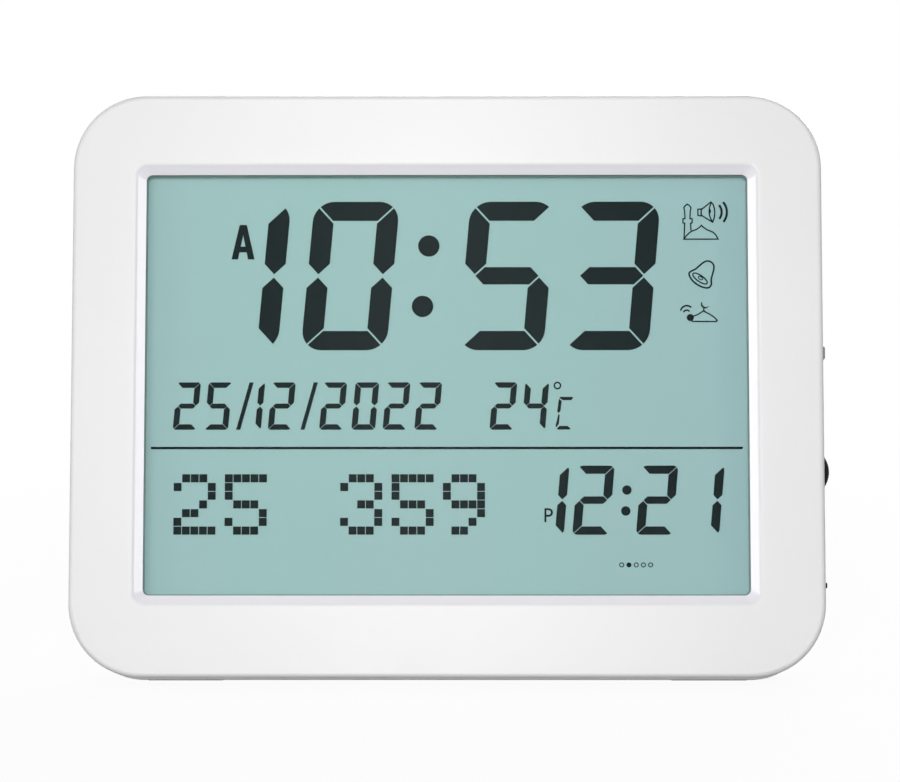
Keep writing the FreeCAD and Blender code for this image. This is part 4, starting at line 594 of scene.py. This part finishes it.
def degree_c():
    """The degree ring and a small C of four strokes."""
    ring = [round_loop((35.3, 93.9), 1.25), round_loop((35.3, 93.9), 0.75)]
    top = [[(36.1, 90.25), (40.0, 90.25), (40.35, 89.95), (39.7, 89.2), (37.0, 89.2),
            (36.0, 89.85)]]
    upper = [[(35.75, 89.65), (36.65, 88.95), (36.25, 85.75), (35.7, 85.1), (35.2, 85.5)]]
    lower = [[(35.55, 84.75), (36.0, 84.3), (35.7, 81.5), (35.0, 80.5), (34.65, 80.8)]]
    bottom = [[(35.1, 80.15), (35.95, 80.9), (38.5, 80.9), (39.5, 80.0), (39.2, 79.75),
               (35.4, 79.75)]]
    return [ring, top, upper, lower, bottom]


def call_mark():
    """A tower, a low dome and a loudspeaker with two waves."""
    tower = [(76.15, 141.4), (76.4, 146.5), (75.85, 146.6), (75.85, 147.9), (76.5, 148.0),
             (76.4, 150.4), (76.15, 151.5), (76.6, 152.2), (77.3, 152.7), (78.0, 152.2),
             (78.45, 151.5), (78.2, 150.4), (78.1, 148.0), (78.8, 147.9), (78.8, 146.6),
             (78.3, 146.5), (78.4, 144.1)]
    dome = (smooth_path([(76.1, 141.3), (77.2, 142.7), (78.5, 143.8), (80.0, 144.4),
                         (81.1, 145.1), (81.8, 145.8)])
            + smooth_path([(82.5, 145.1), (83.7, 144.3), (85.4, 143.6), (86.4, 142.6),
                           (87.1, 141.3)]))
    back = [(80.65, 151.0), (81.7, 151.15), (81.7, 148.85), (80.7, 149.0)]
    horn = [(81.75, 150.9), (84.9, 153.4), (85.6, 152.6), (86.0, 151.2), (86.1, 149.8),
            (85.9, 148.2), (85.4, 146.8), (81.75, 149.1)]
    throat = smooth_path([(85.0, 153.2), (84.5, 151.8), (84.3, 150.1), (84.6, 148.4),
                          (85.3, 147.0)])
    driver = round_loop((84.5, 150.4), 0.75, squeeze=0.5, turn=90)
    return [stroke(tower), stroke(dome, closed=True), stroke(back, closed=True),
            stroke(horn, closed=True), stroke(throat), [driver],
            stroke(arc((84.6, 150.1), 3.7, -37, 38), CALL_WAVE_LINE),
            stroke(arc((84.9, 150.1), 5.1, -39, 40), CALL_WAVE_LINE)]


def bell_mark():
    """A tilted bell with its oval mouth and clapper."""
    body = smooth_path([(83.7, 134.2), (85.0, 133.7), (85.7, 132.4), (85.4, 130.5),
                        (84.8, 128.3), (84.8, 126.6), (84.1, 125.6), (82.8, 125.5),
                        (80.9, 126.2), (79.1, 127.5), (78.0, 129.0), (77.7, 130.2),
                        (78.4, 130.9), (79.8, 131.6), (81.2, 132.8), (82.5, 133.8)], True)
    mouth = round_loop((81.2, 128.5), 2.75, squeeze=0.36, turn=-35)
    clapper = round_loop((81.35, 128.65), 0.75, CLAPPER_STEPS, 0.6, -35)
    return [stroke(body, BELL_LINE, True), stroke(mouth, closed=True),
            stroke(clapper, CLAPPER_LINE, True)]


def shrine_mark():
    """A low dome with a crescent, and a ball with two waves."""
    roof = (smooth_path([(78.6, 116.2), (80.1, 116.7), (81.3, 117.4), (82.3, 118.1)])
            + smooth_path([(83.3, 117.4), (84.6, 116.7), (85.8, 115.8), (86.6, 114.9)])
            + [(86.3, 114.55), (78.6, 114.6)])
    crescent = (arc((82.75, 120.15), 1.35, 150, 330)
                + arc((83.02, 120.45), 1.2, 325, 160))
    return [stroke(roof, closed=True), [round_loop((78.0, 115.85), 1.15)],
            stroke([(82.3, 118.0), (82.35, 119.1)]), [crescent],
            stroke(arc((76.85, 117.2), 1.06, 35, 160, 10), INNER_WAVE_LINE),
            stroke(arc((76.9, 117.65), 2.05, 45, 168, 12), OUTER_WAVE_LINE)]


def event_markers():
    """Small markers, one for each event of the day, with the second one set."""
    figures = []
    for number in range(MARKER_COUNT):
        centre = (FIRST_MARKER[0] + number * MARKER_PITCH, FIRST_MARKER[1])
        rings = [round_loop(centre, MARKER_RADIUS)]
        if number != MARKER_SET:
            rings.append(round_loop(centre, MARKER_HOLE))
        figures.append(rings)
    return figures


def date_rule():
    """The line under the date, over the thinner one of the segments."""
    return [[[(RULE_LEFT, RULE_LOW), (RULE_RIGHT, RULE_LOW), (RULE_RIGHT, RULE_HIGH),
              (RULE_LEFT, RULE_HIGH)]]]


def make_lcd_marks():
    """Prints each mark as a thin solid of ink."""
    marks = {"lcd_a": capital_a(), "lcd_p": capital_p(), "lcd_degree": degree_c(),
             "lcd_call_mark": call_mark(), "lcd_bell_mark": bell_mark(),
             "lcd_shrine_mark": shrine_mark(), "lcd_event_markers": event_markers(),
             "lcd_date_rule": date_rule()}
    for name, figures in marks.items():
        mesh = flat_solid(name, figures, INK_FRONT, INK_BACK)
        mesh.transform(Matrix.Translation((0, 0, -MARKS_DROP)))
        make_object(name, mesh, "case", MATERIALS["lcd_ink"])


# ---------------------------------------------------------------- cells, screws, wheel, arrow

SMOOTH_UNDER = math.radians(40)

# An AA cell's profiles: millimetres from its flat end, and radius.
CELL_CAN = [(0, 4.4), (0.3, 4.9), (0.3, 6.3), (0.5, 6.8), (1.0, 7.0), (48.1, 7.0), (48.7, 6.7),
            (49.0, 6.0), (49.2, 5.2), (49.2, 2.9), (49.4, 2.65), (49.9, 2.6), (50.2, 2.3)]
CELL_JACKET = [(0.8, 6.9), (0.85, 7.1), (1.2, 7.18), (39.5, 7.18), (39.5, 6.9)]
CELL_BAND = [(39.5, 6.9), (39.5, 7.18), (48.0, 7.18), (48.35, 7.05), (48.4, 6.9)]
CELL_STEPS = 48

# Corners within END_DEPTH of a plain cell's end are on that end, which is the nub where they
# reach less than NUB_SHARE of the cell's width from its axis.
END_DEPTH = 0.1
NUB_SHARE = 0.25

# Corners nearer than SCREW_APART belong to one plain screw.  Those further out than RIM_SHARE
# of its head are the rim's, and those further than SHANK_APART from the rim are the shank's.
SCREW_APART = 6
RIM_SHARE = 0.9
SHANK_APART = 1
TOUCH = 0.01

# A screw's head and its cross: shares of the head's height below its top, and of its radius.
# The cross narrows to CROSS_TAPER of its size at its floor.
SCREW_STEPS = 24
HEAD_PROFILE = ((0, 0.74), (0.12, 0.86), (0.35, 0.97), (0.6, 1))
CROSS_ARM = 0.15
CROSS_REACH = 0.56
CROSS_DEPTH = 0.6
CROSS_TAPER = 0.6

# A thread's pitch in millimetres, and shares of one turn and of the shank's radius.
THREAD_PITCH = 0.9
THREAD_ROOT = 0.8
THREAD_TURN = ((0.2, THREAD_ROOT), (0.5, 1), (0.8, THREAD_ROOT))
THREAD_RUNOUT = 0.3
POINT_SHARE = 0.3

# The thumbwheel's ribs and how deep they are, its bevels and its bore.
WHEEL_RIBS = 64
STEPS_TO_A_RIB = 6
WHEEL_RELIEF = 0.14
WHEEL_EDGE = 0.4
WHEEL_BORE = 1.56

# The arrow's distance from the door's end, how far it stands out and sinks in, its outline.
ARROW_INSET = 30
ARROW_RELIEF = 0.35
ARROW_SINK = 0.05
ARROW_POINT = 4.2
ARROW_SHAFT = 4.5
ARROW_HALF_HEAD = 2.6
ARROW_HALF_SHAFT = 0.9


def smooth_mesh(made, name):
    """Turns a bmesh into a mesh that is smooth but for its sharp edges."""
    mesh = plain_mesh(made, name)
    mesh.shade_smooth()
    mesh.set_sharp_from_angle(angle=SMOOTH_UNDER)
    return mesh


def skin(made, loops):
    """Joins each loop of corners to the next one with four-sided faces."""
    for near, far in zip(loops, loops[1:]):
        for step, corner in enumerate(near):
            after = (step + 1) % len(near)
            made.faces.new((corner, near[after], far[after], far[step]))


def round_corners(made, x, z, depth, radii):
    """A loop of corners round an axis through the face, with a radius for each step."""
    loop = []
    for step, radius in enumerate(radii):
        angle = math.tau * step / len(radii)
        loop.append(made.verts.new((x + radius * math.cos(angle), depth,
                                    z + radius * math.sin(angle))))
    return loop


def turned_mesh(name, profile, start, direction, ring=False):
    """A mesh turned along X; a ring's profile closes on itself, another gets flat ends."""
    made = bmesh.new()
    angles = [math.tau * step / CELL_STEPS for step in range(CELL_STEPS)]
    loops = []
    for along, radius in profile:
        loops.append([made.verts.new((start.x + direction * along,
                                      start.y + radius * math.cos(angle),
                                      start.z + radius * math.sin(angle))) for angle in angles])
    skin(made, loops + loops[:1] if ring else loops)
    if not ring:
        made.faces.new(loops[0])
        made.faces.new(loops[-1])
    return smooth_mesh(made, name)


def make_cells():
    """AA cells with steel ends, a jacket and a pale band at the positive end."""
    for name in sorted(name for name in NODES if name.startswith("aa_cell")):
        corners = local_corners(name)
        low, high = box_round(corners)
        middle = (low + high) / 2
        left_reach = max(abs(corner.z - middle.z) for corner in corners
                         if corner.x < low.x + END_DEPTH)
        nub_left = left_reach < (high.z - low.z) * NUB_SHARE
        start = Vector((high.x if nub_left else low.x, middle.y, middle.z))
        direction = -1 if nub_left else 1
        can = make_object(f"{name}_can", turned_mesh(f"{name}_can", CELL_CAN, start, direction),
                          "case", MATERIALS["nickel"])
        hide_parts(name)
        for part, profile in (("jacket", CELL_JACKET), ("band", CELL_BAND)):
            mesh = turned_mesh(f"{name}_{part}", profile, start, direction, True)
            make_object(f"{name}_{part}", mesh, "case", MATERIALS[f"cell_{part}"])


def screw_groups(node_name):
    """The corners of each screw in a group of them, in the clock's millimetres."""
    groups = []
    for corner in local_corners(node_name):
        near = [group for group in groups
                if math.hypot(corner.x - group[0].x, corner.z - group[0].z) < SCREW_APART]
        if near:
            near[0].append(corner)
        else:
            groups.append([corner])
    return groups


def screw_profile(top, seat, tip, head, thread):
    """Depths and radii from the head's top over its seat to the tip."""
    rise, run = top - seat, tip - seat
    profile = [(top - rise * drop, head * share) for drop, share in HEAD_PROFILE]
    profile += [(seat, head), (seat, thread * THREAD_ROOT)]
    turns = int(abs(run) / THREAD_PITCH) - 1
    for turn in range(turns):
        for share, radius in THREAD_TURN:
            profile.append((seat + run * (turn + share) / (turns + 1), thread * radius))
    profile.append((seat + run * (turns + THREAD_RUNOUT) / (turns + 1), thread * THREAD_ROOT))
    profile.append((tip, thread * POINT_SHARE))
    return profile


def add_screw(made, corners):
    """A pan-head screw with a cross recess and a thread, where the plain one is."""
    low, high = box_round(corners)
    x, z = (low.x + high.x) / 2, (low.z + high.z) / 2
    head = (high.x - low.x) / 2
    rim = [corner.y for corner in corners
           if math.hypot(corner.x - x, corner.z - z) > head * RIM_SHARE]
    thread = max(math.hypot(corner.x - x, corner.z - z) for corner in corners
                 if min(abs(corner.y - depth) for depth in rim) > SHANK_APART)
    head_behind = max(rim) > high.y - TOUCH
    top, seat, tip = ((max(rim), min(rim), low.y) if head_behind
                      else (min(rim), max(rim), high.y))

    loops = [round_corners(made, x, z, depth, [radius] * SCREW_STEPS)
             for depth, radius in screw_profile(top, seat, tip, head, thread)]
    skin(made, loops)
    made.faces.new(loops[-1])

    arm, reach = head * CROSS_ARM, head * CROSS_REACH
    cross = [(reach, -arm), (reach, arm), (arm, arm), (arm, reach), (-arm, reach), (-arm, arm),
             (-reach, arm), (-reach, -arm), (-arm, -arm), (-arm, -reach), (arm, -reach),
             (arm, -arm)]
    bottom = top - (top - seat) * CROSS_DEPTH
    mouth = [made.verts.new((x + across, top, z + up)) for across, up in cross]
    floor = [made.verts.new((x + across * CROSS_TAPER, bottom, z + up * CROSS_TAPER))
             for across, up in cross]
    skin(made, [mouth, floor])
    made.faces.new(floor)
    outline = loops[0] + mouth
    flat = [[Vector((corner.co.x, corner.co.z, 0)) for corner in loop]
            for loop in (loops[0], mouth)]
    for triangle in tessellate_polygon(flat):
        made.faces.new([outline[index] for index in triangle])


def make_screws():
    """One mesh of finer screws in place of each group of plain ones."""
    for name in ("case_screws", "holder_screws", "board_screws"):
        made = bmesh.new()
        for corners in screw_groups(name):
            add_screw(made, corners)
        screws = make_object(f"{name}_cross", smooth_mesh(made, f"{name}_cross"), "case",
                             MATERIALS["screw_steel"])
        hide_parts(name)


def make_wheel():
    """The thumbwheel with a finely ribbed rim."""
    low, high = box_round(local_corners("volume_wheel"))
    x, z, rim = (low.x + high.x) / 2, (low.z + high.z) / 2, (high.x - low.x) / 2
    steps = WHEEL_RIBS * STEPS_TO_A_RIB
    valleys = [(1 - math.cos(math.tau * step / steps * WHEEL_RIBS)) / 2 for step in range(steps)]
    profile = ((low.y, WHEEL_BORE, 0), (low.y, rim - WHEEL_EDGE, 0),
               (low.y + WHEEL_EDGE, rim, WHEEL_RELIEF), (high.y - WHEEL_EDGE, rim, WHEEL_RELIEF),
               (high.y, rim - WHEEL_EDGE, 0), (high.y, WHEEL_BORE, 0))
    made = bmesh.new()
    loops = [round_corners(made, x, z, depth, [radius - relief * valley for valley in valleys])
             for depth, radius, relief in profile]
    skin(made, loops + loops[:1])
    wheel = make_object("volume_wheel_ribbed", smooth_mesh(made, "volume_wheel_ribbed"),
                        "volume_wheel", MATERIALS["control_black"])
    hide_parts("volume_wheel")


def make_door_arrow():
    """A raised arrow beside the door's finger grooves, towards the side it slides to."""
    low, high = box_round(local_corners("battery_door"))
    x, z = high.x - ARROW_INSET, (low.z + high.z) / 2
    arrow = [(x, z - ARROW_HALF_HEAD), (x, z - ARROW_HALF_SHAFT),
             (x + ARROW_SHAFT, z - ARROW_HALF_SHAFT), (x + ARROW_SHAFT, z + ARROW_HALF_SHAFT),
             (x, z + ARROW_HALF_SHAFT), (x, z + ARROW_HALF_HEAD), (x - ARROW_POINT, z)]
    mesh = flat_solid("battery_door_arrow", [[arrow]], high.y - ARROW_SINK,
                      high.y + ARROW_RELIEF)
    make_object("battery_door_arrow", mesh, "battery_door",
                MATERIALS["back_white"])


# ---------------------------------------------------------------- light and floor

WORLD_TINT = (0.97, 0.97, 1, 1)
WORLD_HORIZON = 0.15
WORLD_ZENITH = 0.06

# The camera sees the floor as white as FLOOR_WHITE up to FLOOR_NEAR from the middle, and
# quite white from FLOOR_FAR on.  A strip of it under the case is painted grey: a painted
# contact shadow, which the case's underside also mirrors.  Each of the strip's edges fades out
# from its first value to its second.  Places and sizes are in metres.
FLOOR_SIZE = 8.0
FLOOR_GRAIN = 60
FLOOR_WHITE = 0.95
FLOOR_NEAR = 0.15
FLOOR_FAR = 0.5
PAINTED_SHADOW_SIDE_EDGE = (0.085, 0.105)
PAINTED_SHADOW_FRONT_EDGE = (-0.008, -0.018)
PAINTED_SHADOW_REAR_EDGE = (0.0, 0.05)

# Where the lamps aim, and each one's name, place, width and height in metres, and watts.
LAMP_AIM = (0, 0, 0.09)
LAMPS = (("left_box", CASE @ Vector((-900, -342, 220)), 0.1, 0.4, 0.8),
         ("right_box", CASE @ Vector((900, -361, 220)), 0.1, 0.4, 0.85),
         ("front_strip", (-0.019, -0.75, 0.4), 0.08, 0.5, 2.8),
         ("front_box", (0, -1.5, 0.5), 1.0, 0.6, 3.6),
         ("front_left_box", (-0.75, -1.0, 0.25), 0.5, 0.4, 2.3),
         ("back_box", (0.3, 1.1, 0.6), 0.9, 0.7, 14.0))


def make_world():
    """Plain white for the camera and for mirrors; a soft grey light for the rest."""
    world = bpy.data.worlds.new("world")
    bpy.context.scene.world = world
    world.use_nodes = True
    tree = world.node_tree
    tree.nodes.clear()
    direction = node(tree, "ShaderNodeTexCoord").outputs["Generated"]
    strength = map_range(tree, axes_of(tree, direction)["Z"], 0, 1, WORLD_HORIZON, WORLD_ZENITH)
    soft = node(tree, "ShaderNodeBackground", {"Color": WORLD_TINT, "Strength": strength})
    white = node(tree, "ShaderNodeBackground", {"Color": WHITE, "Strength": 1.0})
    both = mixed_shaders(tree, seen_rays(tree), soft, white)
    node(tree, "ShaderNodeOutputWorld", {"Surface": both.outputs[0]})


def floor_material():
    """A pale matte floor that is nearly white to the camera, keeps a faint shadow and has a
    painted grey shadow under the case.
    """
    made, tree = new_material("floor")
    speckle = noise(tree, FLOOR_GRAIN, 4.0)
    place = object_place(tree)
    axes = axes_of(tree, place)
    beside, before, behind = (
        map_range(tree, value, *edge, interpolation="SMOOTHSTEP")
        for value, edge in ((math_of(tree, "ABSOLUTE", axes["X"]), PAINTED_SHADOW_SIDE_EDGE),
                            (axes["Y"], PAINTED_SHADOW_FRONT_EDGE), (axes["Y"], PAINTED_SHADOW_REAR_EDGE)))
    # clear is 0 on the strip under the case, where the painted shadow lies, and 1 elsewhere.
    clear = math_of(tree, "MAXIMUM", beside, math_of(tree, "MAXIMUM", before, behind))
    distance = node(tree, "ShaderNodeVectorMath", {0: place}, operation="LENGTH")
    far = map_range(tree, distance.outputs["Value"], FLOOR_NEAR, FLOOR_FAR, FLOOR_WHITE, 1,
                    "SMOOTHSTEP")
    whiteness = math_of(tree, "MULTIPLY", far, clear)

    pale = tinted(tree, speckle, srgb(243, 243, 243), srgb(247, 247, 247))
    # On that strip the floor is painted srgb(120) grey. This painted shadow is seen by the
    # camera and mirrored in the case's underside.
    colour = mixed(tree, clear, srgb(120, 120, 121), pale)
    matte = node(tree, "ShaderNodeBsdfDiffuse", {"Color": colour})
    white = node(tree, "ShaderNodeEmission", {"Color": WHITE, "Strength": 1.0})
    dark = node(tree, "ShaderNodeBsdfDiffuse",
                {"Color": tinted(tree, speckle, srgb(84, 84, 86), srgb(90, 90, 92))})
    shown = mixed_shaders(tree, whiteness, matte, white)
    show(tree, mixed_shaders(tree, seen_rays(tree), dark, shown))
    return made


def make_floor():
    mesh = bpy.data.meshes.new("floor")
    half = FLOOR_SIZE / 2
    mesh.from_pydata([(-half, -half, 0), (half, -half, 0), (half, half, 0), (-half, half, 0)],
                     [], [(0, 1, 2, 3)])
    floor = bpy.data.objects.new("floor", mesh)
    bpy.context.collection.objects.link(floor)
    floor.data.materials.append(floor_material())


def area_light(name, place, width, height, power):
    """A soft box that faces the clock and leans with it, hidden from the camera."""
    data = bpy.data.lights.new(name, "AREA")
    data.shape = "RECTANGLE"
    data.size, data.size_y = width, height
    data.energy = power
    made = bpy.data.objects.new(name, data)
    bpy.context.collection.objects.link(made)
    back = (Vector(place) - Vector(LAMP_AIM)).normalized()
    across = CASE_UP.cross(back).normalized()
    turned = Matrix((across, back.cross(across), back)).transposed()
    made.matrix_world = Matrix.Translation(place) @ turned.to_4x4()
    made.visible_camera = False


def make_lights():
    """Slim boxes at both sides, an upright strip and two boxes in front, and one behind."""
    for lamp in LAMPS:
        area_light(*lamp)


# ---------------------------------------------------------------- the scene

MATERIALS = make_materials()
make_camera()
finish_nodes()
make_lcd_marks()
make_cells()
make_screws()
make_wheel()
make_door_arrow()
make_world()
make_floor()
make_lights()
bpy.context.scene.view_settings.view_transform = "Standard"
